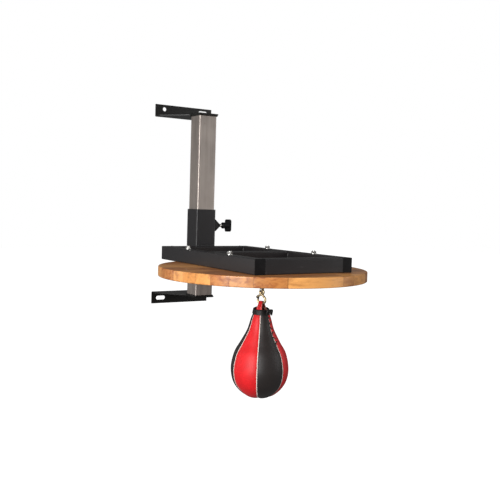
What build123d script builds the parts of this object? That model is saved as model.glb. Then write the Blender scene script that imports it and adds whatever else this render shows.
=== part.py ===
"""Wall-mounted speed bag platform.

Millimetres. X runs to the right for someone facing the wall, the wall is the plane Y = 0, the platform
reaches out along -Y, and Z is up. The origin is the middle of the lower bracket's two bolt slots.
"""

import os
from math import cos, radians, sin

from build123d import *

# ---- wall brackets and post ----
BRACKET_LENGTH = 215
BRACKET_THICKNESS = 4
BRACKET_BEND = 5
UPPER_FLANGE_RISE = 43
LOWER_FLANGE_DROP = 42
PLATE_END_DEPTH = 34
PLATE_NECK_DEPTH = 116
PLATE_NOSE_OVERHANG = 3.5
HOLE_SPACING = 148
HOLE_DIAMETER = 14
SLOT_LENGTH = 35
UPPER_HOLE_RISE = 28
LOWER_SLOT_DROP = 23

POST_SIDE = 63
POST_WALL = 3
POST_CORNER = 4
POST_LENGTH = 598
POST_REACH = 150  # wall to the post's centre

# ---- sliding carriage: sleeve, frame and board ----
CARRIAGE_HEIGHT = 149  # underside of the frame above the lower bolts, as stored
SLEEVE_CLEARANCE = 0.5
SLEEVE_WALL = 3.5
SLEEVE_CORNER = 5
SLEEVE_LENGTH = 162

FRAME_WIDTH = 317
FRAME_LENGTH = 555
RAIL_WIDTH = 32
RAIL_HEIGHT = 42
RAIL_WALL = 2
RAIL_CORNER = 3
PLUG_HEAD = 2
PLUG_DEPTH = 16
PLUG_WALL = 2
PLUG_CLEARANCE = 0.2

BOARD_DIAMETER = 600
BOARD_THICKNESS = 28
BOARD_REACH = 533  # wall to the board's centre
BOARD_EASING = 2.5

BOLT_SPACING = 247
BOLT_DIAMETER = 8
BOLT_HOLE_CLEARANCE = 0.4
BOLT_PROUD = 2
BOLT_HEAD_DIAMETER = 20
BOLT_HEAD_HEIGHT = 4.5
BOLT_HEAD_ROUNDING = 2.7
BOLT_HEAD_SINK = 1
NUT_ACROSS_FLATS = 13
NUT_HEIGHT = 6.5
WASHER_DIAMETER = 17
WASHER_THICKNESS = 1.6

# ---- height clamp ----
CLAMP_RISE = 109  # clamp screw above the sleeve's lower end
SCREW_DIAMETER = 10
SCREW_CLEARANCE = 0.05
BOSS_ACROSS_FLATS = 34
BOSS_TURN = 30  # puts two of the hexagon's flats upright
BOSS_HEX_LENGTH = 20
BOSS_TAPER_LENGTH = 13
BOSS_NOSE_DIAMETER = 13
PAD_THICKNESS = 6
PAD_GAP = 0.2
PAD_SPIGOT_DIAMETER = 5
PAD_SPIGOT_LENGTH = 3
KNOB_NECK = 9  # screw that shows between the boss and the knob
KNOB_HUB_DIAMETER = 21
KNOB_HUB_LENGTH = 18
KNOB_HUB_TAPER = 4
WING_LENGTH = 42
WING_WIDTH = 15
WING_DEPTH = 19
WING_EASING = 4
KNOB_CORE_DEPTH = 26
KNOB_CORE_CLEARANCE = 0.05

# ---- ball-bearing swivel under the board ----
SWIVEL_PLATE_DIAMETER = 76
SWIVEL_PLATE_THICKNESS = 4
SWIVEL_SCREW_CIRCLE = 58
SWIVEL_SCREW_DIAMETER = 4.5
SWIVEL_SCREW_HEAD = 8.6
SWIVEL_SCREW_LENGTH = 20
SWIVEL_SCREWS = 4
SWIVEL_SCREW_TURN = 45
HOUSING_DIAMETER = 38
HOUSING_HEIGHT = 18
HOUSING_WALL = 3
RACE_DIAMETER = 29
RACE_THICKNESS = 2
LOWER_RACE_CLEARANCE = 1
BALL_DIAMETER = 5
BALL_CIRCLE = 21
BALLS = 8
BALL_GAP = 0.3
CAGE_THICKNESS = 1.2
CAGE_WIDTH = 7
CAGE_CLEARANCE = 0.2
SPINDLE_DIAMETER = 10
SPINDLE_CLEARANCE = 0.07
SPINDLE_NUT_FLATS = 17
SPINDLE_NUT_HEIGHT = 5
SPINDLE_NECK = 4  # spindle that shows under the housing
EYE_RADIUS = 7.5
EYE_WIRE = 6

# ---- snap hook ----
LINK_GAP = 0.3
HOOK_TURN = 298  # direction of the hook's plane round the vertical, degrees from +X
HOOK_WIRE = 6.5
HOOK_RING_WIRE = 6
HOOK_DROP = 31.5  # link point down to the middle of the hook's lower bar
HOOK_HALF_WIDTH = 12
HOOK_CORNER = 7
HOOK_SHOULDER_DROP = 17
HOOK_NOSE_DROP = 20.5
GATE_PIVOT_OFFSET = 10
GATE_PIVOT_DROP = 11
GATE_WIRE = 4.6
GATE_EYE_DIAMETER = 6
GATE_EYE_WIDTH = 3
GATE_EAR_THICKNESS = 1.6
GATE_EAR_DIAMETER = 6.4
GATE_SIDE_GAP = 0.2
GATE_PIN_DIAMETER = 2.4
GATE_PIN_CLEARANCE = 0.05
GATE_LEVER_REACH = 3.5
GATE_LEVER_WIDTH = 3
GATE_LEVER_ROUNDING = 1
GATE_LEVER_FOOT = 1.5

# ---- speed bag ----
STRAP_THICKNESS = 3
STRAP_TOP_WIDTH = 10.5
STRAP_FOOT_WIDTH = 20
STRAP_FOOT_SPREAD = 15
NECK_DROP = 22.5  # hook's lower bar down to the top of the neck cap
BAG_LENGTH = 256
BAG_RADIUS = 83.5
NECK_RADIUS = 21.5
NECK_SLOPE = 0.25  # how fast the bag widens at its neck, per unit of drop
NECK_CAP_THICKNESS = 4
NECK_CAP_GAP = 0.4
LEATHER = 2.2
BLADDER_GAP = 0.3
BLADDER_WALL = 1.5
PANELS = 6
FIRST_SEAM = 232  # direction of one seam round the vertical, degrees from +X
PIPING_ANGLE = 1.8
PIPING_PROUD = 1.0
COLLAR_THICKNESS = 2.3
COLLAR_RISE = 7
COLLAR_SKIRT = 4
COLLAR_FLARE = 0.2
COLLAR_GAP = 0.5
VALVE_DIAMETER = 7
VALVE_LENGTH = 9
VALVE_CLEARANCE = 0.05
NEEDLE_HOLE_DIAMETER = 4
LACE_DIAMETER = 2.6
LACE_CROSSINGS = 6
LACE_HALF_WIDTH = 7
LACE_LOOP_DROP = 3.5  # height of each turn at the side of the seam
LACE_BEND = 1.5
LACE_FIRST = 0.07  # share of the bag's side curve where the lacing starts
LACE_LAST = 0.50
LACE_SIDE_GAP = 1.2
LACE_SEAM_GAP = 0.8
KNOT_TURN = 284  # direction of the knot round the vertical, degrees from +X
KNOT_DIAMETER = 12
KNOT_GAP = 0.3
# how the bag swells from its neck to its widest: (share of the swell, share of the drop)
BAG_SHOULDER = ((0.105, 0.095), (0.274, 0.303), (0.573, 0.516), (0.871, 0.718))

# ---- places that follow from the sizes above ----
POST_FOOT = LOWER_SLOT_DROP
POST_TOP = POST_FOOT + POST_LENGTH
PLATE_REACH = POST_REACH + POST_SIDE / 2 + PLATE_NOSE_OVERHANG
UPPER_HOLE_HEIGHT = POST_TOP + UPPER_HOLE_RISE

SLEEVE_INNER = POST_SIDE + 2 * SLEEVE_CLEARANCE
SLEEVE_OUTER = SLEEVE_INNER + 2 * SLEEVE_WALL
RAIL_TOP = CARRIAGE_HEIGHT + RAIL_HEIGHT
RAIL_MIDDLE = CARRIAGE_HEIGHT + RAIL_HEIGHT / 2
FRAME_REAR = -(POST_REACH + SLEEVE_OUTER / 2)
FRAME_FRONT = FRAME_REAR - FRAME_LENGTH
FRAME_MIDDLE = (FRAME_REAR + FRAME_FRONT) / 2
SIDE_RAIL_X = (FRAME_WIDTH - RAIL_WIDTH) / 2
CROSS_RAIL_LENGTH = FRAME_WIDTH - 2 * RAIL_WIDTH
BOARD_BOTTOM = CARRIAGE_HEIGHT - BOARD_THICKNESS
BOLT_PLACES = [
    (side * SIDE_RAIL_X, FRAME_MIDDLE + end * BOLT_SPACING / 2) for side in (-1, 1) for end in (-1, 1)
]

CLAMP_HEIGHT = CARRIAGE_HEIGHT + CLAMP_RISE
BOSS_BASE = SLEEVE_OUTER / 2
BOSS_HEX_END = BOSS_BASE + BOSS_HEX_LENGTH
BOSS_END = BOSS_HEX_END + BOSS_TAPER_LENGTH
PAD_FACE = POST_SIDE / 2 + PAD_GAP
PAD_BACK = PAD_FACE + PAD_THICKNESS
KNOB_START = BOSS_END + KNOB_NECK
WING_START = KNOB_START + KNOB_HUB_LENGTH

HOUSING_TOP = BOARD_BOTTOM - SWIVEL_PLATE_THICKNESS
HOUSING_BOTTOM = HOUSING_TOP - HOUSING_HEIGHT
LOWER_RACE_BASE = HOUSING_BOTTOM + HOUSING_WALL
BALL_HEIGHT = LOWER_RACE_BASE + RACE_THICKNESS + BALL_DIAMETER / 2
UPPER_RACE_BASE = BALL_HEIGHT + BALL_DIAMETER / 2 + BALL_GAP
SPINDLE_NUT_BASE = UPPER_RACE_BASE + RACE_THICKNESS
EYE_CENTRE = HOUSING_BOTTOM - SPINDLE_NECK - EYE_RADIUS - EYE_WIRE / 2
LINK_HEIGHT = EYE_CENTRE - EYE_RADIUS
HOOK_RING_RADIUS = EYE_WIRE / 2 + LINK_GAP + HOOK_RING_WIRE / 2
HOOK_BAR_HEIGHT = LINK_HEIGHT - HOOK_DROP
NECK_TOP = HOOK_BAR_HEIGHT - NECK_DROP
PANEL_TOP = NECK_TOP - NECK_CAP_THICKNESS
BAG_BOTTOM = NECK_TOP - BAG_LENGTH
BELLY_HEIGHT = BAG_BOTTOM + BAG_RADIUS


def upright(azimuth, reach=BOARD_REACH):
    """A vertical plane on the swivel's axis: its x runs out at the azimuth and its y is the world's Z."""
    angle = radians(azimuth)
    return Plane(
        origin=(0, -reach, 0),
        x_dir=(cos(angle), sin(angle), 0),
        z_dir=(sin(angle), -cos(angle), 0),
    )


def swivel_axis():
    return Axis((0, -BOARD_REACH, 0), (0, 0, 1))


def save(part, name):
    part.label = name
    export_step(part, f"parts/{name}.step")


# ---- wall brackets and post ----
def wall_bracket(name, plate_low, flange_low, flange_high, hole_height, left_is_round):
    """An angle of bent plate: a flange on the wall with two openings, and a tapered plate on the post."""
    half = BRACKET_LENGTH / 2
    nose = POST_SIDE / 2 + PLATE_NOSE_OVERHANG
    right_side = [(half, 0), (half, -PLATE_END_DEPTH), (nose, -PLATE_NECK_DEPTH), (nose, -PLATE_REACH)]
    left_side = [(-x, y) for x, y in reversed(right_side)]
    with BuildPart() as bracket:
        with BuildSketch(Plane.XY.offset(plate_low)):
            with BuildLine():
                Polyline(*right_side, *left_side, close=True)
            make_face()
        extrude(amount=BRACKET_THICKNESS)
        with BuildSketch(Plane.XZ):
            with Locations((0, (flange_low + flange_high) / 2)):
                Rectangle(BRACKET_LENGTH, flange_high - flange_low)
        extrude(amount=BRACKET_THICKNESS)
        bend_height = flange_low if hole_height > plate_low else flange_high
        long_edges = bracket.edges().filter_by(Axis.X)
        outer_bend = long_edges.sort_by_distance((0, 0, bend_height))[0]
        fillet(outer_bend, BRACKET_BEND)
        with BuildSketch(Plane.XZ):
            with Locations((-HOLE_SPACING / 2, hole_height)):
                if left_is_round:
                    Circle(HOLE_DIAMETER / 2)
                else:
                    SlotOverall(SLOT_LENGTH, HOLE_DIAMETER)
            with Locations((HOLE_SPACING / 2, hole_height)):
                SlotOverall(SLOT_LENGTH, HOLE_DIAMETER)
        extrude(amount=BRACKET_THICKNESS, mode=Mode.SUBTRACT)
    save(bracket.part, name)


def square_tube(side, wall, corner, base, length):
    with BuildPart() as tube:
        with BuildSketch(Plane((0, -POST_REACH, base))):
            RectangleRounded(side, side, corner)
            RectangleRounded(side - 2 * wall, side - 2 * wall, corner - wall, mode=Mode.SUBTRACT)
        extrude(amount=length)
    return tube.part


def post():
    save(square_tube(POST_SIDE, POST_WALL, POST_CORNER, POST_FOOT, POST_LENGTH), "post")


# ---- sleeve and height clamp ----
def sleeve():
    """The square tube that slides on the post, with the clamp screw's hole in its right wall."""
    tube = square_tube(SLEEVE_OUTER, SLEEVE_WALL, SLEEVE_CORNER, CARRIAGE_HEIGHT, SLEEVE_LENGTH)
    with BuildPart() as sliding_sleeve:
        add(tube)
        with BuildSketch(Plane.YZ.offset(SLEEVE_INNER / 2)):
            with Locations((-POST_REACH, CLAMP_HEIGHT)):
                Circle(SCREW_DIAMETER / 2 + SCREW_CLEARANCE)
        extrude(amount=SLEEVE_WALL, mode=Mode.SUBTRACT)
    save(sliding_sleeve.part, "sleeve")


def clamp_plane(x):
    """A plane across the clamp screw's axis at the given X; its x and y are the world's Y and Z."""
    return Plane(origin=(x, -POST_REACH, CLAMP_HEIGHT), x_dir=(0, 1, 0), z_dir=(1, 0, 0))


def clamp_boss():
    """A tapped hexagon welded on the sleeve, turned down to a cone at its outer end."""
    with BuildPart() as boss:
        with BuildSketch(clamp_plane(BOSS_BASE)):
            RegularPolygon(BOSS_ACROSS_FLATS / 2, 6, major_radius=False, rotation=BOSS_TURN)
        extrude(amount=BOSS_HEX_LENGTH)
        with BuildSketch(clamp_plane(BOSS_HEX_END)):
            Circle(BOSS_ACROSS_FLATS / 2)
        with BuildSketch(clamp_plane(BOSS_END)):
            Circle(BOSS_NOSE_DIAMETER / 2)
        loft()
        with BuildSketch(clamp_plane(BOSS_BASE)):
            Circle(SCREW_DIAMETER / 2 + SCREW_CLEARANCE)
        extrude(amount=BOSS_END - BOSS_BASE, mode=Mode.SUBTRACT)
    save(boss.part, "clamp_boss")


def clamp_pad():
    """The disc that the screw pushes against the post. It slides without turning."""
    with BuildPart() as pad:
        with BuildSketch(clamp_plane(PAD_FACE)):
            Circle(SCREW_DIAMETER / 2)
        extrude(amount=PAD_THICKNESS)
        with BuildSketch(clamp_plane(PAD_BACK)):
            Circle(PAD_SPIGOT_DIAMETER / 2 + SCREW_CLEARANCE)
        extrude(amount=-PAD_SPIGOT_LENGTH - PAD_GAP, mode=Mode.SUBTRACT)
    save(pad.part, "clamp_pad")


def clamp_screw():
    start = PAD_BACK + PAD_GAP
    with BuildPart() as screw:
        with BuildSketch(clamp_plane(start)):
            Circle(SCREW_DIAMETER / 2)
        extrude(amount=KNOB_START + KNOB_CORE_DEPTH - start)
        with BuildSketch(clamp_plane(start)):
            Circle(PAD_SPIGOT_DIAMETER / 2)
        extrude(amount=-PAD_SPIGOT_LENGTH)
    save(screw.part, "clamp_screw")


def clamp_knob():
    """A moulded T-shaped knob: a round hub with a tapered inner end, and a grip bar across it."""
    with BuildPart() as knob:
        with BuildSketch(clamp_plane(KNOB_START)):
            Circle(KNOB_HUB_DIAMETER / 2)
        extrude(amount=KNOB_HUB_LENGTH + WING_DEPTH / 2)
        chamfer(knob.edges().filter_by(GeomType.CIRCLE).sort_by(Axis.X)[0], KNOB_HUB_TAPER)
        with BuildSketch(clamp_plane(WING_START)):
            SlotOverall(WING_LENGTH, WING_WIDTH, rotation=90)
        extrude(amount=WING_DEPTH)
        ends = knob.faces().filter_by(Axis.X).sort_by(Axis.X)[-1]
        fillet(ends.edges(), WING_EASING)
        with BuildSketch(clamp_plane(KNOB_START)):
            Circle(SCREW_DIAMETER / 2 + KNOB_CORE_CLEARANCE)
        extrude(amount=KNOB_CORE_DEPTH, mode=Mode.SUBTRACT)
    save(knob.part, "clamp_knob")


# ---- frame ----
def rail_section():
    RectangleRounded(RAIL_WIDTH, RAIL_HEIGHT, RAIL_CORNER)
    RectangleRounded(
        RAIL_WIDTH - 2 * RAIL_WALL, RAIL_HEIGHT - 2 * RAIL_WALL, RAIL_CORNER - RAIL_WALL, mode=Mode.SUBTRACT
    )


def side_rail(name, x):
    """A rail that runs out from the wall side, open at both ends, drilled through for two bolts."""
    length = FRAME_LENGTH - 2 * PLUG_HEAD
    rear = FRAME_REAR - PLUG_HEAD
    with BuildPart() as rail:
        with BuildSketch(Plane((x, rear, RAIL_MIDDLE), x_dir=(1, 0, 0), z_dir=(0, -1, 0))):
            rail_section()
        extrude(amount=length)
        with BuildSketch(Plane.XY.offset(CARRIAGE_HEIGHT)):
            with Locations(*[place for place in BOLT_PLACES if place[0] * x > 0]):
                Circle(BOLT_DIAMETER / 2 + BOLT_HOLE_CLEARANCE)
        extrude(amount=RAIL_HEIGHT, mode=Mode.SUBTRACT)
    save(rail.part, name)


def cross_rail(name, y):
    """A rail welded between the two side rails."""
    with BuildPart() as rail:
        with BuildSketch(Plane((-CROSS_RAIL_LENGTH / 2, y, RAIL_MIDDLE), x_dir=(0, 1, 0), z_dir=(1, 0, 0))):
            rail_section()
        extrude(amount=CROSS_RAIL_LENGTH)
    save(rail.part, name)


def end_plug(name, x, rail_end, outward):
    """A moulded plug: a flat head on the rail's end and a hollow spigot inside. outward is +1 or -1."""
    centre = (x, rail_end, RAIL_MIDDLE)
    spigot_width = RAIL_WIDTH - 2 * RAIL_WALL - 2 * PLUG_CLEARANCE
    spigot_height = RAIL_HEIGHT - 2 * RAIL_WALL - 2 * PLUG_CLEARANCE
    with BuildPart() as plug:
        with BuildSketch(Plane(centre, x_dir=(1, 0, 0), z_dir=(0, outward, 0))):
            RectangleRounded(RAIL_WIDTH, RAIL_HEIGHT, RAIL_CORNER)
        extrude(amount=PLUG_HEAD)
        with BuildSketch(Plane(centre, x_dir=(1, 0, 0), z_dir=(0, -outward, 0))):
            RectangleRounded(spigot_width, spigot_height, RAIL_CORNER - RAIL_WALL)
            Rectangle(spigot_width - 2 * PLUG_WALL, spigot_height - 2 * PLUG_WALL, mode=Mode.SUBTRACT)
        extrude(amount=PLUG_DEPTH)
    save(plug.part, name)


# ---- board and its bolts ----
def board():
    """The round striking board, drilled and counterbored from below for the frame's bolts."""
    sink = BOLT_HEAD_HEIGHT + BOLT_HEAD_SINK
    with BuildPart() as disc:
        with BuildSketch(Plane((0, -BOARD_REACH, BOARD_BOTTOM))):
            Circle(BOARD_DIAMETER / 2)
        extrude(amount=BOARD_THICKNESS)
        fillet(disc.edges().filter_by(GeomType.CIRCLE), BOARD_EASING)
        with BuildSketch(Plane.XY.offset(BOARD_BOTTOM)):
            with Locations(*BOLT_PLACES):
                Circle(BOLT_DIAMETER / 2 + BOLT_HOLE_CLEARANCE)
        extrude(amount=BOARD_THICKNESS, mode=Mode.SUBTRACT)
        with BuildSketch(Plane.XY.offset(BOARD_BOTTOM)):
            with Locations(*BOLT_PLACES):
                Circle(BOLT_HEAD_DIAMETER / 2 + BOLT_HOLE_CLEARANCE)
        extrude(amount=sink, mode=Mode.SUBTRACT)
        with BuildSketch(Plane((0, -BOARD_REACH, BOARD_BOTTOM))):
            with PolarLocations(SWIVEL_SCREW_CIRCLE / 2, SWIVEL_SCREWS, start_angle=SWIVEL_SCREW_TURN):
                Circle(SWIVEL_SCREW_DIAMETER / 2)
        extrude(amount=SWIVEL_SCREW_LENGTH - SWIVEL_PLATE_THICKNESS, mode=Mode.SUBTRACT)
    save(disc.part, "board")


def board_bolts():
    """Round-headed bolts, put in from under the board and up through the side rails."""
    head_base = BOARD_BOTTOM + BOLT_HEAD_SINK
    top = RAIL_TOP + WASHER_THICKNESS + NUT_HEIGHT + BOLT_PROUD
    with BuildPart() as bolts:
        with BuildSketch(Plane.XY.offset(head_base + BOLT_HEAD_HEIGHT)):
            with Locations(*BOLT_PLACES):
                Circle(BOLT_DIAMETER / 2)
        extrude(amount=top - head_base - BOLT_HEAD_HEIGHT)
        with BuildSketch(Plane.XY.offset(head_base)):
            with Locations(*BOLT_PLACES):
                Circle(BOLT_HEAD_DIAMETER / 2)
        extrude(amount=BOLT_HEAD_HEIGHT)
        lowest = bolts.edges().filter_by(GeomType.CIRCLE).group_by(Axis.Z)[0]
        fillet(lowest, BOLT_HEAD_ROUNDING)
    save(bolts.part, "board_bolts")


def board_washers():
    with BuildPart() as washers:
        with BuildSketch(Plane.XY.offset(RAIL_TOP)):
            with Locations(*BOLT_PLACES):
                Circle(WASHER_DIAMETER / 2)
                Circle(BOLT_DIAMETER / 2 + BOLT_HOLE_CLEARANCE, mode=Mode.SUBTRACT)
        extrude(amount=WASHER_THICKNESS)
    save(washers.part, "board_washers")


def board_nuts():
    with BuildPart() as nuts:
        with BuildSketch(Plane.XY.offset(RAIL_TOP + WASHER_THICKNESS)):
            with Locations(*BOLT_PLACES):
                RegularPolygon(NUT_ACROSS_FLATS / 2, 6, major_radius=False)
                Circle(BOLT_DIAMETER / 2, mode=Mode.SUBTRACT)
        extrude(amount=NUT_HEIGHT)
    save(nuts.part, "board_nuts")


# ---- swivel ----
def ring(name, base, outer, inner, height):
    """A flat ring on the swivel's axis."""
    with BuildPart() as flat_ring:
        with BuildSketch(Plane((0, -BOARD_REACH, base))):
            Circle(outer / 2)
            Circle(inner / 2, mode=Mode.SUBTRACT)
        extrude(amount=height)
    save(flat_ring.part, name)


def swivel_plate():
    """The round plate screwed under the board, countersunk for its screws."""
    sink = (SWIVEL_SCREW_HEAD - SWIVEL_SCREW_DIAMETER) / 2
    with BuildPart() as plate:
        with BuildSketch(Plane((0, -BOARD_REACH, HOUSING_TOP))):
            Circle(SWIVEL_PLATE_DIAMETER / 2)
        extrude(amount=SWIVEL_PLATE_THICKNESS)
        with BuildSketch(Plane((0, -BOARD_REACH, HOUSING_TOP))):
            with PolarLocations(SWIVEL_SCREW_CIRCLE / 2, SWIVEL_SCREWS, start_angle=SWIVEL_SCREW_TURN):
                Circle(SWIVEL_SCREW_DIAMETER / 2)
        extrude(amount=SWIVEL_PLATE_THICKNESS, mode=Mode.SUBTRACT)
        rims = plate.edges().filter_by(GeomType.CIRCLE).group_by(Axis.Z)[0]
        chamfer(rims.filter_by(lambda edge: edge.radius < SWIVEL_SCREW_DIAMETER), sink)
    save(plate.part, "swivel_plate")


def swivel_screws():
    """Countersunk wood screws up into the board."""
    sink = (SWIVEL_SCREW_HEAD - SWIVEL_SCREW_DIAMETER) / 2
    with BuildPart() as screws:
        for index in range(SWIVEL_SCREWS):
            angle = radians(SWIVEL_SCREW_TURN + index * 360 / SWIVEL_SCREWS)
            centre_x = SWIVEL_SCREW_CIRCLE / 2 * cos(angle)
            centre_y = -BOARD_REACH + SWIVEL_SCREW_CIRCLE / 2 * sin(angle)
            with BuildSketch(Plane((centre_x, centre_y, HOUSING_TOP), x_dir=(1, 0, 0), z_dir=(0, -1, 0))):
                with BuildLine():
                    Polyline(
                        (0, 0),
                        (SWIVEL_SCREW_HEAD / 2, 0),
                        (SWIVEL_SCREW_DIAMETER / 2, sink),
                        (SWIVEL_SCREW_DIAMETER / 2, SWIVEL_SCREW_LENGTH - SWIVEL_SCREW_DIAMETER),
                        (0, SWIVEL_SCREW_LENGTH),
                        close=True,
                    )
                make_face()
            revolve(axis=Axis((centre_x, centre_y, 0), (0, 0, 1)))
    save(screws.part, "swivel_screws")


def swivel_housing():
    """The cup that holds the bearing, hung under the plate, with the spindle's hole in its floor."""
    with BuildPart() as housing:
        with BuildSketch(Plane((0, -BOARD_REACH, HOUSING_BOTTOM))):
            Circle(HOUSING_DIAMETER / 2)
        extrude(amount=HOUSING_HEIGHT)
        fillet(housing.edges().filter_by(GeomType.CIRCLE).sort_by(Axis.Z)[0], HOUSING_WALL)
        with BuildSketch(Plane((0, -BOARD_REACH, LOWER_RACE_BASE))):
            Circle(HOUSING_DIAMETER / 2 - HOUSING_WALL)
        extrude(amount=HOUSING_HEIGHT - HOUSING_WALL, mode=Mode.SUBTRACT)
        with BuildSketch(Plane((0, -BOARD_REACH, HOUSING_BOTTOM))):
            Circle(SPINDLE_DIAMETER / 2 + SPINDLE_CLEARANCE)
        extrude(amount=HOUSING_WALL, mode=Mode.SUBTRACT)
    save(housing.part, "swivel_housing")


def bearing_balls():
    with BuildPart() as balls:
        with Locations((0, -BOARD_REACH, BALL_HEIGHT)):
            with PolarLocations(BALL_CIRCLE / 2, BALLS):
                Sphere(BALL_DIAMETER / 2)
    save(balls.part, "bearing_balls")


def ball_cage():
    """The flat ring that spaces the balls."""
    with BuildPart() as cage:
        with BuildSketch(Plane((0, -BOARD_REACH, BALL_HEIGHT - CAGE_THICKNESS / 2))):
            Circle(BALL_CIRCLE / 2 + CAGE_WIDTH / 2)
            Circle(BALL_CIRCLE / 2 - CAGE_WIDTH / 2, mode=Mode.SUBTRACT)
            with PolarLocations(BALL_CIRCLE / 2, BALLS):
                Circle(BALL_DIAMETER / 2 + CAGE_CLEARANCE, mode=Mode.SUBTRACT)
        extrude(amount=CAGE_THICKNESS)
    save(cage.part, "ball_cage")


def swivel_eye():
    """The spindle that turns in the bearing, with a closed eye at its lower end."""
    eye_plane = upright(HOOK_TURN - 90)
    top = SPINDLE_NUT_BASE + SPINDLE_NUT_HEIGHT
    with BuildPart() as spindle:
        with BuildSketch(Plane((0, -BOARD_REACH, EYE_CENTRE + EYE_RADIUS))):
            Circle(SPINDLE_DIAMETER / 2)
        extrude(amount=top - EYE_CENTRE - EYE_RADIUS)
        with Locations(Plane((0, -BOARD_REACH, EYE_CENTRE), z_dir=eye_plane.z_dir)):
            Torus(EYE_RADIUS, EYE_WIRE / 2)
    save(spindle.part, "swivel_eye")


def spindle_nut():
    with BuildPart() as nut:
        with BuildSketch(Plane((0, -BOARD_REACH, SPINDLE_NUT_BASE))):
            RegularPolygon(SPINDLE_NUT_FLATS / 2, 6, major_radius=False)
            Circle(SPINDLE_DIAMETER / 2, mode=Mode.SUBTRACT)
        extrude(amount=SPINDLE_NUT_HEIGHT)
    save(nut.part, "spindle_nut")


# ---- snap hook, drawn in its own upright plane: x across the hook, y up, z through it ----
def gate_ears_offset():
    return GATE_EYE_WIDTH / 2 + GATE_SIDE_GAP


def snap_hook():
    """A closed ring on the swivel's eye, and under it a wire hook, open on one side, with two ears."""
    plane = upright(HOOK_TURN)
    shoulder = LINK_HEIGHT - HOOK_SHOULDER_DROP
    corner_height = HOOK_BAR_HEIGHT + HOOK_CORNER
    ear_height = LINK_HEIGHT - GATE_PIVOT_DROP
    ring_bottom = LINK_HEIGHT - HOOK_RING_RADIUS
    straight = HOOK_HALF_WIDTH - HOOK_CORNER
    with BuildPart() as hook:
        with Locations(Plane((0, -BOARD_REACH, LINK_HEIGHT), z_dir=plane.z_dir)):
            Torus(HOOK_RING_RADIUS, HOOK_RING_WIRE / 2)
        with BuildLine(plane) as spine:
            FilletPolyline(
                (0, ring_bottom),
                (HOOK_HALF_WIDTH, shoulder),
                (HOOK_HALF_WIDTH, HOOK_BAR_HEIGHT),
                (-HOOK_HALF_WIDTH, HOOK_BAR_HEIGHT),
                (-HOOK_HALF_WIDTH, LINK_HEIGHT - HOOK_NOSE_DROP),
                radius=HOOK_CORNER,
            )
        start = spine.line @ 0
        with BuildSketch(Plane(origin=start, z_dir=spine.line % 0)):
            Circle(HOOK_WIRE / 2)
        sweep(path=spine.line)
        for side in (-1, 1):
            inner_face = side * gate_ears_offset()
            with BuildSketch(plane.offset(inner_face)):
                with Locations((-GATE_PIVOT_OFFSET, ear_height)):
                    Circle(GATE_EAR_DIAMETER / 2)
                with BuildLine():
                    Polyline(
                        (-GATE_PIVOT_OFFSET, ear_height + GATE_EAR_DIAMETER / 2),
                        (0, ring_bottom + HOOK_RING_WIRE / 4),
                        (0, ring_bottom - HOOK_RING_WIRE / 2),
                        (-GATE_PIVOT_OFFSET, ear_height - GATE_EAR_DIAMETER / 2),
                        close=True,
                    )
                make_face()
            extrude(amount=side * GATE_EAR_THICKNESS)
        with BuildSketch(plane.offset(-gate_ears_offset() - GATE_EAR_THICKNESS)):
            with Locations((-GATE_PIVOT_OFFSET, ear_height)):
                Circle(GATE_PIN_DIAMETER / 2)
        extrude(amount=2 * (gate_ears_offset() + GATE_EAR_THICKNESS), mode=Mode.SUBTRACT)
    save(hook.part, "snap_hook")


def gate_pin():
    plane = upright(HOOK_TURN)
    reach = gate_ears_offset() + GATE_EAR_THICKNESS
    with BuildPart() as pin:
        with BuildSketch(plane.offset(-reach)):
            with Locations((-GATE_PIVOT_OFFSET, LINK_HEIGHT - GATE_PIVOT_DROP)):
                Circle(GATE_PIN_DIAMETER / 2)
        extrude(amount=2 * reach)
    save(pin.part, "gate_pin")


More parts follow.
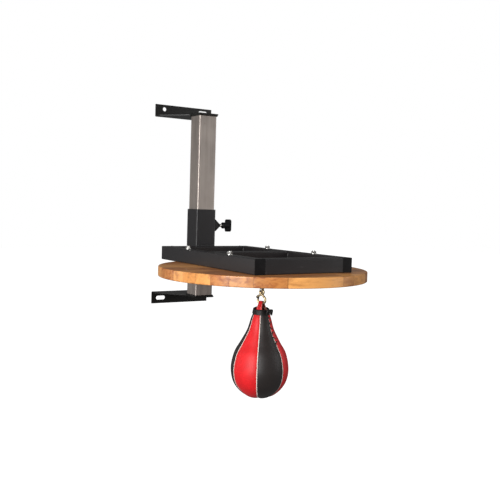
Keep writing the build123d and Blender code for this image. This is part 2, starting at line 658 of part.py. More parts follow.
def hook_gate():
    """The sprung gate: an eye on the pin, a bar down to the hook's nose, and a thumb lever outside.

    Its lower end is an arc about the pin, so that it swings clear of the nose.
    """
    plane = upright(HOOK_TURN)
    pivot = (-GATE_PIVOT_OFFSET, LINK_HEIGHT - GATE_PIVOT_DROP)
    foot = LINK_HEIGHT - HOOK_NOSE_DROP + LINK_GAP
    swing_radius = HOOK_NOSE_DROP - GATE_PIVOT_DROP - LINK_GAP
    lever_root = pivot[0] - GATE_EYE_DIAMETER / 2 + GATE_LEVER_ROUNDING / 2
    lever_tip = -HOOK_HALF_WIDTH - GATE_WIRE / 2 - GATE_LEVER_REACH
    with BuildPart() as gate:
        with BuildSketch(plane.offset(-GATE_EYE_WIDTH / 2)):
            with Locations(pivot):
                Circle(GATE_EYE_DIAMETER / 2)
            with BuildLine():
                Polyline(
                    (pivot[0] + GATE_EYE_DIAMETER / 2, pivot[1]),
                    (-HOOK_HALF_WIDTH + GATE_WIRE / 2, foot),
                    (-HOOK_HALF_WIDTH - GATE_WIRE / 2, foot),
                    (pivot[0] - GATE_EYE_DIAMETER / 2, pivot[1]),
                    close=True,
                )
            make_face()
        extrude(amount=GATE_EYE_WIDTH)
        with BuildSketch(plane.offset(-GATE_LEVER_WIDTH / 2)):
            with BuildLine():
                Polyline(
                    (lever_root, pivot[1] + GATE_LEVER_ROUNDING),
                    (lever_tip + GATE_LEVER_ROUNDING, pivot[1] - GATE_LEVER_ROUNDING),
                    (lever_tip, foot + GATE_WIRE),
                    (lever_tip + GATE_LEVER_FOOT, foot + GATE_LEVER_ROUNDING),
                    (-HOOK_HALF_WIDTH, foot + GATE_WIRE),
                    close=True,
                )
            make_face()
        extrude(amount=GATE_LEVER_WIDTH)
        with BuildSketch(plane.offset(-gate_ears_offset())):
            with Locations(pivot):
                Circle(swing_radius)
        extrude(amount=2 * gate_ears_offset(), mode=Mode.INTERSECT)
        with BuildSketch(plane.offset(-GATE_EYE_WIDTH / 2)):
            with Locations(pivot):
                Circle(GATE_PIN_DIAMETER / 2 + GATE_PIN_CLEARANCE)
        extrude(amount=GATE_EYE_WIDTH, mode=Mode.SUBTRACT)
    save(gate.part, "hook_gate")


# ---- speed bag ----
def shoulder_points(inset):
    """Points down the bag's side from the neck to its widest, moved inwards by the inset."""
    swell = BAG_RADIUS - NECK_RADIUS
    drop = PANEL_TOP - BELLY_HEIGHT
    points = [(NECK_RADIUS - inset, PANEL_TOP)]
    for swell_share, drop_share in BAG_SHOULDER:
        points.append((NECK_RADIUS + swell_share * swell - inset, PANEL_TOP - drop_share * drop))
    points.append((BAG_RADIUS - inset, BELLY_HEIGHT))
    return points


def side_curve(inset):
    """The bag's side in its upright plane: a spline down to the widest place, upright there."""
    return Spline(*shoulder_points(inset), tangents=((NECK_SLOPE, -1), (0, -1)))


def bottom_arc(inset):
    """The round bottom, from the widest place to the axis."""
    radius = BAG_RADIUS - inset
    return RadiusArc((radius, BELLY_HEIGHT), (0, BELLY_HEIGHT - radius), radius)


def skin(start_angle, arc, inset_outside, inset_inside):
    """Part of the bag's skin: the space between two insets, turned through an arc from the start angle."""
    with BuildPart() as piece:
        with BuildSketch(upright(start_angle)):
            with BuildLine():
                side_curve(inset_outside)
                bottom_arc(inset_outside)
                Line(
                    (0, BELLY_HEIGHT - BAG_RADIUS + inset_outside),
                    (0, BELLY_HEIGHT - BAG_RADIUS + inset_inside),
                )
                bottom_arc(inset_inside)
                side_curve(inset_inside)
                Line((NECK_RADIUS - inset_inside, PANEL_TOP), (NECK_RADIUS - inset_outside, PANEL_TOP))
            make_face()
        revolve(axis=swivel_axis(), revolution_arc=arc)
        with BuildSketch(Plane((0, -BOARD_REACH, BAG_BOTTOM - PIPING_PROUD))):
            Circle(NEEDLE_HOLE_DIAMETER / 2)
        extrude(amount=2 * LEATHER + PIPING_PROUD, mode=Mode.SUBTRACT)
    return piece.part


def bag_panels():
    """Six leather panels, red and black in turn, with the piping's width left between them."""
    step = 360 / PANELS
    colours = ("black", "red")
    for index in range(PANELS):
        start = FIRST_SEAM + index * step + PIPING_ANGLE / 2
        panel = skin(start, step - PIPING_ANGLE, 0, LEATHER)
        save(panel, f"{colours[index % 2]}_panel_{index // 2 + 1}")


def seam_piping():
    """A strip of piping in each seam, standing a little proud of the leather."""
    strips = []
    for index in range(PANELS):
        start = FIRST_SEAM + index * 360 / PANELS - PIPING_ANGLE / 2
        strips.append(skin(start, PIPING_ANGLE, -PIPING_PROUD, LEATHER))
    save(Compound(children=strips), "seam_piping")


def bladder():
    """The inflated rubber bladder: a closed thin shell inside the leather, with a hole for its valve."""
    outside = LEATHER + BLADDER_GAP
    inside = outside + BLADDER_WALL
    with BuildPart() as shell:
        for inset, mode in ((outside, Mode.ADD), (inside, Mode.SUBTRACT)):
            with BuildSketch(upright(0)):
                with BuildLine():
                    side_curve(inset)
                    bottom_arc(inset)
                    Line((0, BELLY_HEIGHT - BAG_RADIUS + inset), (0, PANEL_TOP))
                    Line((0, PANEL_TOP), (NECK_RADIUS - inset, PANEL_TOP))
                make_face()
            revolve(axis=swivel_axis(), mode=mode)
        with BuildSketch(Plane((0, -BOARD_REACH, PANEL_TOP - BLADDER_GAP))):
            Circle(NECK_RADIUS)
        extrude(amount=2 * BLADDER_GAP, mode=Mode.SUBTRACT)
        with BuildSketch(Plane((0, -BOARD_REACH, PANEL_TOP - BLADDER_GAP))):
            Circle(NECK_RADIUS - outside - BLADDER_WALL / 2)
        extrude(amount=-BLADDER_WALL)
        with BuildSketch(Plane((0, -BOARD_REACH, BAG_BOTTOM))):
            Circle(VALVE_DIAMETER / 2 + VALVE_CLEARANCE)
        extrude(amount=VALVE_LENGTH, mode=Mode.SUBTRACT)
    save(shell.part, "bladder")


def bladder_valve():
    """The rubber plug that an inflating needle goes through, at the bottom of the bladder."""
    with BuildPart() as valve:
        with BuildSketch(Plane((0, -BOARD_REACH, BAG_BOTTOM + LEATHER + BLADDER_GAP))):
            Circle(VALVE_DIAMETER / 2)
        extrude(amount=VALVE_LENGTH)
    save(valve.part, "bladder_valve")


def neck_cap():
    """The leather disc that closes the neck and carries the strap."""
    with BuildPart() as cap:
        with BuildSketch(Plane((0, -BOARD_REACH, PANEL_TOP))):
            Circle(NECK_RADIUS - NECK_CAP_GAP)
        extrude(amount=NECK_CAP_THICKNESS)
    save(cap.part, "neck_cap")


def collar_radius(height):
    """The inside of the collar, which narrows upward."""
    return NECK_RADIUS + COLLAR_GAP + PIPING_PROUD - (height - PANEL_TOP) * COLLAR_FLARE


def bag_collar():
    """The black band round the neck, a short cone that follows the leather below it."""
    low = PANEL_TOP - COLLAR_SKIRT
    high = NECK_TOP + COLLAR_RISE
    with BuildPart() as collar:
        with BuildSketch(upright(0)):
            with BuildLine():
                Polyline(
                    (collar_radius(low), low),
                    (collar_radius(low) + COLLAR_THICKNESS, low),
                    (collar_radius(high) + COLLAR_THICKNESS, high),
                    (collar_radius(high), high),
                    close=True,
                )
            make_face()
        revolve(axis=swivel_axis())
    save(collar.part, "bag_collar")


def strap_loop():
    """The leather loop over the hook's bar. It is narrow on the bar and wide at its two sewn feet."""
    inner = HOOK_WIRE / 2 + LINK_GAP
    outer = inner + STRAP_THICKNESS
    loop_plane = upright(HOOK_TURN - 90)
    with BuildPart() as strap:
        for radius, spread, mode in (
            (outer, STRAP_FOOT_SPREAD + STRAP_THICKNESS / 2, Mode.ADD),
            (inner, STRAP_FOOT_SPREAD - STRAP_THICKNESS / 2, Mode.SUBTRACT),
        ):
            with BuildSketch(loop_plane.offset(-STRAP_FOOT_WIDTH / 2)):
                with BuildLine():
                    CenterArc((0, HOOK_BAR_HEIGHT), radius, 0, 360)
                    Line((-spread, NECK_TOP), (spread, NECK_TOP))
                make_hull()
            extrude(amount=STRAP_FOOT_WIDTH, mode=mode)
        with BuildSketch(upright(HOOK_TURN).offset(-STRAP_FOOT_SPREAD - STRAP_THICKNESS)):
            with BuildLine():
                Polyline(
                    (-STRAP_TOP_WIDTH / 2, HOOK_BAR_HEIGHT + outer),
                    (STRAP_TOP_WIDTH / 2, HOOK_BAR_HEIGHT + outer),
                    (STRAP_FOOT_WIDTH / 2, NECK_TOP),
                    (-STRAP_FOOT_WIDTH / 2, NECK_TOP),
                    close=True,
                )
            make_face()
        extrude(amount=2 * (STRAP_FOOT_SPREAD + STRAP_THICKNESS), mode=Mode.INTERSECT)
    save(strap.part, "strap_loop")


def lace_route():
    """The lace's points on the bag: across the seam and back, down the side curve, turning at each side."""
    side_stand = LACE_DIAMETER / 2 + LACE_SIDE_GAP
    seam_stand = LACE_DIAMETER / 2 + PIPING_PROUD + LACE_SEAM_GAP
    curve = side_curve(0)
    step = (LACE_LAST - LACE_FIRST) / (2 * LACE_CROSSINGS)
    route = []
    for index in range(2 * LACE_CROSSINGS + 1):
        point = curve @ (LACE_FIRST + index * step)
        if index % 2:
            route.append(seam_point(point.X + seam_stand, 0, point.Y))
            continue
        side = 1 if index % 4 else -1
        radius = point.X + side_stand
        turn = side * LACE_HALF_WIDTH / radius
        for rise in (LACE_LOOP_DROP / 2, -LACE_LOOP_DROP / 2):
            route.append(seam_point(radius, turn, point.Y + rise))
    return route


def seam_point(radius, turn, height):
    """A point at a radius from the bag's axis, turned from the laced seam by an angle in radians."""
    angle = radians(FIRST_SEAM + 360 / PANELS) + turn
    return Vector(radius * cos(angle), -BOARD_REACH + radius * sin(angle), height)


def bag_lace():
    points = lace_route()
    with BuildPart() as lace:
        with BuildLine() as route:
            FilletPolyline(*points, radius=LACE_BEND)
        with BuildSketch(Plane(origin=route.line @ 0, z_dir=route.line % 0)):
            Circle(LACE_DIAMETER / 2)
        sweep(path=route.line)
    save(lace.part, "bag_lace")


def lace_knot():
    """The tied end of the lace, a knot against the outside of the collar."""
    angle = radians(KNOT_TURN)
    height = (NECK_TOP + PANEL_TOP) / 2
    reach = collar_radius(height) + COLLAR_THICKNESS + KNOT_GAP + KNOT_DIAMETER / 2
    with BuildPart() as knot:
        with Locations((reach * cos(angle), -BOARD_REACH + reach * sin(angle), height)):
            Sphere(KNOT_DIAMETER / 2)
    save(knot.part, "lace_knot")


def main():
    os.makedirs("parts", exist_ok=True)
    wall_bracket(
        "lower_wall_bracket",
        POST_FOOT - BRACKET_THICKNESS,
        POST_FOOT - LOWER_FLANGE_DROP,
        POST_FOOT,
        0,
        left_is_round=False,
    )
    wall_bracket(
        "upper_wall_bracket",
        POST_TOP,
        POST_TOP,
        POST_TOP + UPPER_FLANGE_RISE,
        UPPER_HOLE_HEIGHT,
        left_is_round=True,
    )
    post()
    sleeve()
    clamp_boss()
    clamp_pad()
    clamp_screw()
    clamp_knob()
    side_rail("left_side_rail", -SIDE_RAIL_X)
    side_rail("right_side_rail", SIDE_RAIL_X)
    cross_rail("rear_cross_rail", FRAME_REAR - RAIL_WIDTH / 2)
    cross_rail("middle_cross_rail", FRAME_MIDDLE)
    cross_rail("front_cross_rail", FRAME_FRONT + RAIL_WIDTH / 2)
    for side, x in (("left", -SIDE_RAIL_X), ("right", SIDE_RAIL_X)):
        end_plug(f"rear_{side}_plug", x, FRAME_REAR - PLUG_HEAD, 1)
        end_plug(f"front_{side}_plug", x, FRAME_FRONT + PLUG_HEAD, -1)
    board()
    board_bolts()
    board_washers()
    board_nuts()
    swivel_plate()
    swivel_screws()
    swivel_housing()
    lower_race_bore = SPINDLE_DIAMETER + 2 * LOWER_RACE_CLEARANCE
    ring("lower_race", LOWER_RACE_BASE, RACE_DIAMETER, lower_race_bore, RACE_THICKNESS)
    ring("upper_race", UPPER_RACE_BASE, RACE_DIAMETER, SPINDLE_DIAMETER, RACE_THICKNESS)
    bearing_balls()
    ball_cage()
    swivel_eye()
    spindle_nut()
    snap_hook()
    gate_pin()
    hook_gate()
    bag_panels()
    seam_piping()
    bladder()
    bladder_valve()
    neck_cap()
    bag_collar()
    strap_loop()
    bag_lace()
    lace_knot()


main()
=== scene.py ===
from math import acos, atan2, cos, exp, hypot, pi, radians, sin

import bpy
import numpy as np
from bpy.props import FloatProperty, FloatVectorProperty, IntProperty, PointerProperty
from mathutils import Matrix, Vector


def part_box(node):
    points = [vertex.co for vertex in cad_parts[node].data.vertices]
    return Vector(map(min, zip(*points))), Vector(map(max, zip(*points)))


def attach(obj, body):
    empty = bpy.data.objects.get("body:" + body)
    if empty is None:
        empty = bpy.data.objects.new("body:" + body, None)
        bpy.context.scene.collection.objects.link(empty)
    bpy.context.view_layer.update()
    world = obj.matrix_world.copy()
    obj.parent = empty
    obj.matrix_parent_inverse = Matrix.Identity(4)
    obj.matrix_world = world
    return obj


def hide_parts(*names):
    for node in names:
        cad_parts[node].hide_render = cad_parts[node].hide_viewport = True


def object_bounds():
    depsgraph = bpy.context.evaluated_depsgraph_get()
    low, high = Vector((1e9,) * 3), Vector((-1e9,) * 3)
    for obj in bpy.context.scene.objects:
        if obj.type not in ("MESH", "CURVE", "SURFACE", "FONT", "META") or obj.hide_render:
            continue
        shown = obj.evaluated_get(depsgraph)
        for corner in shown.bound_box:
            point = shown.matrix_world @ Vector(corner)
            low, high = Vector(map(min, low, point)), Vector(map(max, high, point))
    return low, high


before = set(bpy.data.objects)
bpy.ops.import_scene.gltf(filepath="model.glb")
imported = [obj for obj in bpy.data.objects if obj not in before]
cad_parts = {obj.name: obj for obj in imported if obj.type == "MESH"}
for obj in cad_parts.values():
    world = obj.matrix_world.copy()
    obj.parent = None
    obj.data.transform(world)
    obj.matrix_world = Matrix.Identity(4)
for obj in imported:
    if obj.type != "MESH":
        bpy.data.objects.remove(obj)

bl_info = {
    "name": "Speed bag platform",
    "version": (1, 0, 0),
    "blender": (4, 5, 0),
    "location": "3D Viewport > Sidebar > Speed bag",
    "description": "Finishes, leather work and studio of a wall-mounted speed bag platform",
    "category": "Object",
}

CAD_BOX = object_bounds()
MM = 0.001

# ---- the bag's place and main sizes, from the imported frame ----
BLADDER_LOW, BLADDER_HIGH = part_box("bladder")
NECK_LOW, NECK_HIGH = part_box("neck_cap")
STRAP_LOW, STRAP_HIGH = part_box("strap_loop")
COLLAR_LOW, COLLAR_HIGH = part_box("bag_collar")
KNOT_LOW, KNOT_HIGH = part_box("lace_knot")
BAG_AXIS_Y = (BLADDER_LOW.y + BLADDER_HIGH.y) / 2
LEATHER = 2.2 * MM
SKIN_DEPTH = 2.5 * MM  # leather and the gap under it
BLADDER_WALL = 1.5 * MM
DISC_GAP = 0.4 * MM  # round the disc that closes the neck
COLLAR_THICKNESS = 2.3 * MM
COLLAR_FLARE = 0.2  # how fast the collar widens, per unit of drop
BAG_RADIUS = (BLADDER_HIGH.x - BLADDER_LOW.x) / 2 + SKIN_DEPTH
BAG_TOP = NECK_LOW.z
BAG_BELLY = BLADDER_LOW.z - SKIN_DEPTH + BAG_RADIUS
NECK_RADIUS = (NECK_HIGH.x - NECK_LOW.x) / 2 + DISC_GAP
# how the bag swells from its neck to its widest: (share of the swell, share of the drop)
BAG_SHOULDER = ((0, 0), (0.105, 0.095), (0.274, 0.303), (0.573, 0.516), (0.871, 0.718), (1, 1))
SEAMS = 6
FIRST_SEAM = radians(232)
LACED_SEAM = FIRST_SEAM + 2 * pi / SEAMS
HOOK_TURN = radians(298)
STRAP_TURN = HOOK_TURN - pi / 2
STRAP_THICKNESS = 3 * MM
STRAP_TOP = 10.5 * MM
STRAP_FOOT = 20 * MM
STRAP_BEND = 3.55 * MM  # inside of the strap's bend over the hook's bar
LACE_HALF_WIDTH = 7 * MM  # from the seam to the lace's holes
LACE_FIRST, LACE_LAST = 0.035, 0.32  # where the lacing starts and ends, as shares of the bag's side
COLLAR_STITCH_GAP = 1.1 * MM
STRAP_STITCH_GAP = 1.0 * MM
STAVE_SHIFT = 0.37  # shares of a stave by which the glue lines miss the board's middle

# ---- the frame's smaller sizes ----
POST_CORNER = 4 * MM
BEAD_STEP = 0.9 * MM  # from one ring of a weld bead to the next
SPIGOT_LENGTH = 3 * MM
THREAD_SIDES = 24
NUT_FLATS = 13 * MM
NUT_BORE = 8 * MM
NUT_CHAMFER = 1.1 * MM
BOLT_HEAD_RADIUS = 10 * MM

# ---- studio ----
FLOOR_DROP = 1.5  # floor below the bag
FLOOR_HALF_SIDE = 30.0
ROOM_STRENGTH = 0.13
CAMERA_PLACE = (-1.1254, -2.2564, 0.3167)
CAMERA_AZIMUTH = radians(-32.09)
CAMERA_ELEVATION = radians(3.29)
CAMERA_ROLL = radians(1.68)
CAMERA_LENS = 51.37
# name, place, width and height, watts
SOFTBOXES = (
    ("key_softbox", (-2.7, -2.1, 0.8), (1.5, 1.5), 125),
    ("fill_softbox", (2.4, -2.3, 0.9), (1.4, 1.8), 26),
    ("side_softbox", (-2.4, 1.6, 0.7), (1.2, 1.8), 11),
    ("top_softbox", (0.2, -0.9, 2.6), (1.6, 1.2), 8),
)


# ---- the user's sizes and colours ----
def size_property(name, description, default):
    return FloatProperty(
        name=name, description=description, default=default, min=0, unit="LENGTH", subtype="DISTANCE"
    )


def colour_property(name, description, default):
    return FloatVectorProperty(
        name=name, description=description, default=default, size=3, min=0, max=1, subtype="COLOR"
    )


class SpeedBagSizes(bpy.types.PropertyGroup):
    stave_width: size_property("Stave width", "Width of one glued stave of the board", 0.042)
    stave_length: size_property("Stave length", "Usual length of one piece of stave", 0.33)
    bead_width: size_property("Weld bead", "Width of a weld bead", 0.0062)
    thread_pitch: size_property("Screw pitch", "Pitch of the clamp screw's thread", 0.0015)
    piping_width: size_property("Piping width", "Width of the piping between the leather panels", 0.003)
    piping_proud: size_property("Piping height", "How far the piping stands above the leather", 0.0009)
    panel_swell: size_property("Panel swell", "How far the middle of a panel is blown up", 0.0012)
    seam_pull: size_property("Seam pull", "How far the seams draw in between the blown-up panels", 0.0016)
    pucker_depth: size_property("Pucker depth", "Depth of the dimples that the seam's stitches draw", 0.0005)
    pucker_pitch: size_property("Pucker pitch", "Distance from one dimple to the next", 0.008)
    gather_depth: size_property(
        "Gather depth", "Depth of the folds where the leather meets the collar", 0.0007
    )
    lace_width: size_property("Lace width", "Width of the flat waxed lace", 0.0032)
    lace_thickness: size_property("Lace thickness", "Thickness of the flat waxed lace", 0.0018)
    thread_width: size_property("Thread width", "Thickness of the sewing thread", 0.0007)
    stitch_length: size_property("Stitch length", "Length of one stitch", 0.0032)
    knot_fullness: FloatProperty(
        name="Knot fullness", description="Size of the tied knot against its tight core", default=1.3, min=0.5
    )
    lace_crossings: IntProperty(
        name="Lace crossings", description="Times the lace crosses its seam", default=6, min=1
    )


class SpeedBagColours(bpy.types.PropertyGroup):
    frame_paint: colour_property("Frame paint", "Powder coat of the sleeve and frame", (0.017, 0.016, 0.017))
    bracket_paint: colour_property(
        "Bracket paint", "Powder coat of the wall brackets", (0.006, 0.0055, 0.005)
    )
    post_steel: colour_property("Post", "Bare drawn steel of the post", (0.36, 0.315, 0.285))
    plastic: colour_property("Plastic", "Plugs and knob", (0.005, 0.005, 0.0055))
    wood_light: colour_property("Light wood", "Palest staves of the board", (0.98, 0.46, 0.135))
    wood_dark: colour_property("Dark wood", "Darkest staves of the board", (0.26, 0.062, 0.014))
    zinc: colour_property("Zinc", "Plated bolts, nuts and swivel", (0.74, 0.73, 0.70))
    bearing: colour_property("Bearing steel", "Balls and races", (0.72, 0.72, 0.74))
    brass: colour_property("Brass", "Snap hook", (0.90, 0.72, 0.42))
    gate: colour_property("Gate", "Oxidised steel of the hook's gate", (0.10, 0.085, 0.075))
    red_leather: colour_property("Red leather", "Red panels and strap", (0.86, 0.012, 0.017))
    black_leather: colour_property("Black leather", "Black panels and neck", (0.021, 0.016, 0.015))
    strap_inside: colour_property(
        "Strap inside", "Unfinished side and edges of the strap", (0.50, 0.20, 0.15)
    )
    piping: colour_property("Piping", "Corded piping in the seams", (0.95, 0.84, 0.76))
    collar: colour_property("Collar", "Black band round the neck", (0.007, 0.0055, 0.0055))
    lace: colour_property("Lace", "Waxed lace and black thread", (0.006, 0.005, 0.005))
    rubber: colour_property("Rubber", "Bladder and its valve", (0.05, 0.048, 0.047))
    floor: colour_property("Floor", "Studio floor", (0.92, 0.92, 0.92))


# ---- shader maths ----
class Value:
    """A shader socket with Python's arithmetic: an expression on it adds the nodes that work it out."""

    def __init__(self, finish, socket):
        self.finish = finish
        self.socket = socket

    def maths(self, operation, *others):
        return self.finish.node("Math", {"operation": operation}, dict(enumerate((self, *others))))

    def reflected(self, operation, other):
        return self.finish.node("Math", {"operation": operation}, {0: other, 1: self})

    def __add__(self, other):
        return self.maths("ADD", other)

    __radd__ = __add__

    def __sub__(self, other):
        return self.maths("SUBTRACT", other)

    def __rsub__(self, other):
        return self.reflected("SUBTRACT", other)

    def __mul__(self, other):
        return self.maths("MULTIPLY", other)

    __rmul__ = __mul__

    def __truediv__(self, other):
        return self.maths("DIVIDE", other)

    def __rtruediv__(self, other):
        return self.reflected("DIVIDE", other)

    def __pow__(self, other):
        return self.maths("POWER", other)

    def __abs__(self):
        return self.maths("ABSOLUTE")

    def floor(self):
        return self.maths("FLOOR")

    def fraction(self):
        return self.maths("FRACT")

    def sine(self):
        return self.maths("SINE")

    def rise(self, low, high):
        """0 below low, 1 above high, and a smooth step between."""
        return self.finish.node(
            "MapRange",
            {"interpolation_type": "SMOOTHSTEP"},
            {"Value": self, "From Min": low, "From Max": high},
        )


class Finish:
    """A material in the making. Its constants are set on the shader; what varies is fed to it."""

    def __init__(self, name, colour, **constants):
        self.material = bpy.data.materials.new(name)
        self.material.use_nodes = True
        self.tree = self.material.node_tree
        self.shader = self.tree.nodes["Principled BSDF"]
        self.shader.inputs["Base Color"].default_value = (*colour, 1)
        for socket, value in constants.items():
            self.shader.inputs[socket.replace("_", " ")].default_value = value

    def node(self, kind, settings=None, inputs=None, output=0):
        made = self.tree.nodes.new("ShaderNode" + kind)
        for key, value in (settings or {}).items():
            setattr(made, key, value)
        for place, value in (inputs or {}).items():
            if isinstance(value, Value):
                self.tree.links.new(value.socket, made.inputs[place])
            else:
                made.inputs[place].default_value = value
        return Value(self, made.outputs[output])

    def feed(self, socket, value):
        self.tree.links.new(value.socket, self.shader.inputs[socket])

    def place(self):
        """A point's place on the piece, in metres."""
        return self.node("TexCoord", output="Object")

    def axes(self):
        place = self.place()
        return [self.node("SeparateXYZ", inputs={0: place}, output=axis) for axis in range(3)]

    def stretched(self, stretch):
        return self.node("VectorMath", {"operation": "MULTIPLY"}, {0: self.place(), 1: stretch})

    def noise(self, scale, detail=3, stretch=(1, 1, 1), seed=0.0, distortion=0.0):
        inputs = {
            "Vector": self.stretched(stretch),
            "W": seed,
            "Scale": scale,
            "Detail": detail,
            "Distortion": distortion,
        }
        return self.node("TexNoise", {"noise_dimensions": "4D"}, inputs)

    def cells(self, scale, feature="F1", stretch=(1, 1, 1)):
        inputs = {"Vector": self.stretched(stretch), "Scale": scale}
        return self.node("TexVoronoi", {"feature": feature}, inputs, output="Distance")

    def chance(self, first, second):
        """A number from 0 to 1 that is fixed for each pair of whole numbers."""
        pair = self.node("CombineXYZ", inputs={0: first, 1: second})
        return self.node("TexWhiteNoise", {"noise_dimensions": "2D"}, {"Vector": pair}, output="Value")

    def mix(self, factor, first, second):
        """A colour from the first to the second, by a factor from 0 to 1."""
        sockets = {0: factor}
        for place, colour in ((6, first), (7, second)):
            sockets[place] = colour if isinstance(colour, Value) else (*colour, 1)
        return self.node("Mix", {"data_type": "RGBA"}, sockets, output=2)

    def relief(self, height, depth, edge=0.0):
        """Feeds the normal from a height of about 0 to 1. Its depth and the edges' rounding are in metres."""
        sockets = {"Height": height, "Distance": depth, "Strength": 1.0}
        if edge:
            sockets["Normal"] = self.node("Bevel", {"samples": 4}, {"Radius": edge})
        self.feed("Normal", self.node("Bump", inputs=sockets))


def shade(colour, factor):
    """A colour made darker, or lighter with a factor over 1."""
    return tuple(min(1, channel * factor) for channel in colour)


# ---- finishes ----
def powder_coat(name, colour):
    """Satin paint with fine orange peel and a few scuffs."""
    finish = Finish(name, colour, Specular_IOR_Level=0.34)
    peel = finish.noise(900, detail=1)
    mottle = finish.noise(14, detail=4)
    scuff = finish.noise(60, detail=5, stretch=(1, 1, 7)).rise(0.62, 0.72) * mottle.rise(0.45, 0.62)
    finish.feed("Base Color", finish.mix(scuff * 0.6, colour, shade(colour, 3.2)))
    finish.feed("Roughness", 0.27 + mottle * 0.12 + scuff * 0.2)
    finish.relief(peel * 0.8 + scuff * 0.6, 0.06 * MM, edge=1.0 * MM)
    return finish.material


def drawn_steel(colour):
    """Bare tube: die lines along its length, a warm film of oil and a few handling marks."""
    finish = Finish("bare_drawn_steel", colour, Metallic=0.86)
    lines = finish.noise(420, detail=3, stretch=(1, 1, 0.012))
    broad = finish.noise(30, detail=3, stretch=(1, 1, 0.12), seed=4.0)
    film = finish.noise(7, detail=4, seed=9.0)
    marks = finish.noise(45, detail=6, seed=2.0).rise(0.66, 0.74)
    streak = finish.noise(75, detail=3, stretch=(1, 1, 0.03), seed=7.0)
    tint = finish.mix(film.rise(0.3, 0.7), shade(colour, 0.74), shade(colour, 1.16))
    tint = finish.mix((lines * 0.4 + broad * 0.6).rise(0.35, 0.65) * 0.5, tint, shade(colour, 1.35))
    tint = finish.mix(streak.rise(0.5, 0.72) * 0.6, tint, shade(colour, 0.55))
    finish.feed("Base Color", finish.mix(marks * 0.35, tint, shade(colour, 0.5)))
    finish.feed("Roughness", 0.34 + lines * 0.12 + film * 0.1 + marks * 0.15)
    finish.relief(lines * 0.7 + broad * 0.3, 0.035 * MM, edge=1.5 * MM)
    return finish.material


def moulded_plastic(colour):
    """Dull black plastic with a fine spark-eroded grain."""
    finish = Finish("moulded_black_plastic", colour, Specular_IOR_Level=0.12)
    spark = finish.noise(1500, detail=2)
    wear = finish.noise(40, detail=4)
    finish.feed("Base Color", finish.mix(wear.rise(0.4, 0.8), colour, shade(colour, 1.9)))
    finish.feed("Roughness", 0.44 + wear * 0.16)
    finish.relief(spark, 0.07 * MM, edge=0.8 * MM)
    return finish.material


def laminated_wood(light, dark, width, length):
    """Glued staves along X, each with its own tone and grain, under a clear varnish."""
    finish = Finish("varnished_laminated_wood", light, Coat_Weight=0.3, Coat_Roughness=0.16)
    x, y = finish.axes()[:2]
    row = (y / width + STAVE_SHIFT).floor()
    offset = finish.chance(row, 3.0)
    block = (x / length + offset * 5).floor()
    tone = finish.chance(row + 40, block)
    seed = tone * 60
    bend = finish.noise(5, detail=1, stretch=(1, 3, 3), seed=seed)
    rings = finish.noise(11, detail=3, stretch=(0.55, 9, 9), seed=seed, distortion=0.5)
    grain = ((rings * 8 + bend * 3).sine() * 0.5 + 0.5).rise(0.1, 0.95)
    pores = finish.noise(95, detail=2, stretch=(0.16, 9, 9), seed=seed).rise(0.60, 0.72)
    clouds = finish.noise(30, detail=3, stretch=(0.25, 1.7, 1.7), seed=seed + 20, distortion=0.8)
    figure = clouds.rise(0.40, 0.72)
    body = finish.mix(tone.rise(0.1, 0.95) * 0.60 + grain * 0.24 + figure * 0.42 - 0.04, light, dark)
    warm = finish.mix(bend.rise(0.4, 0.7) * 0.22, body, (0.72, 0.24, 0.05))
    fleck = finish.mix(pores * 0.5, warm, shade(dark, 0.5))
    seam_y = abs((y / width + STAVE_SHIFT).fraction() - 0.5).rise(0.488, 0.497)
    seam_x = abs((x / length + offset * 5).fraction() - 0.5).rise(0.4975, 0.4995)
    joint = seam_y.maths("MAXIMUM", seam_x)
    finish.feed("Base Color", finish.mix(joint * 0.55, fleck, shade(dark, 0.35)))
    finish.feed("Roughness", 0.34 + grain * 0.12 + pores * 0.2)
    finish.relief(grain * 0.25 - pores * 0.6 - joint * 0.8 + 1.0, 0.09 * MM, edge=1.0 * MM)
    return finish.material


def plated(name, colour, roughness, edge=0.5 * MM):
    """Plated or polished metal, with faint blotches, fingermarks and fine scratches."""
    finish = Finish(name, colour, Metallic=1.0)
    blotch = finish.noise(160, detail=4)
    smear = finish.noise(38, detail=3, seed=6.0)
    scratch = finish.noise(900, detail=2, stretch=(1, 0.08, 0.6)).rise(0.62, 0.70)
    tint = finish.mix(blotch.rise(0.35, 0.7), shade(colour, 0.82), shade(colour, 1.08))
    finish.feed("Base Color", finish.mix(smear.rise(0.55, 0.8) * 0.3, tint, shade(colour, 0.62)))
    finish.feed("Roughness", roughness + blotch * 0.1 + smear * 0.08 + scratch * 0.12)
    finish.relief(blotch * 0.4 + scratch * 0.5, 0.03 * MM, edge=edge)
    return finish.material


def leather(name, colour, painted_shade_factor):
    """Split cowhide with a pebbled grain, fine creases and a soft sheen, with painted shade darkening the
    grooves between the pebbles and the crease lines.
    """
    finish = Finish(name, colour, Specular_IOR_Level=0.42, Sheen_Weight=0.06, Sheen_Roughness=0.45)
    pebble = finish.cells(620)
    fine = finish.cells(1500)
    hollow = finish.noise(26, detail=5, distortion=0.6)
    crease = abs(finish.noise(55, detail=5, stretch=(1, 1, 0.6), seed=3.0) - 0.5).rise(0.0, 0.03)
    shaded_creases = (1 - crease) * hollow.rise(0.46, 0.66)
    tint = finish.mix(hollow.rise(0.3, 0.75), shade(colour, 0.86), shade(colour, 1.1))
    # painted shade: the grooves between the pebbles are darkened
    tint = finish.mix(pebble.rise(0.25, 0.75) * 0.4, tint, shade(colour, painted_shade_factor))
    # painted shade: the crease lines are darkened
    finish.feed("Base Color", finish.mix(shaded_creases * 0.45, tint, shade(colour, painted_shade_factor)))
    finish.feed("Roughness", 0.40 + pebble * 0.16 + hollow * 0.12)
    height = (1 - pebble) * 0.55 + (1 - fine) * 0.2 + hollow * 0.5 - shaded_creases * 0.4
    finish.relief(height, 0.16 * MM)
    return finish.material


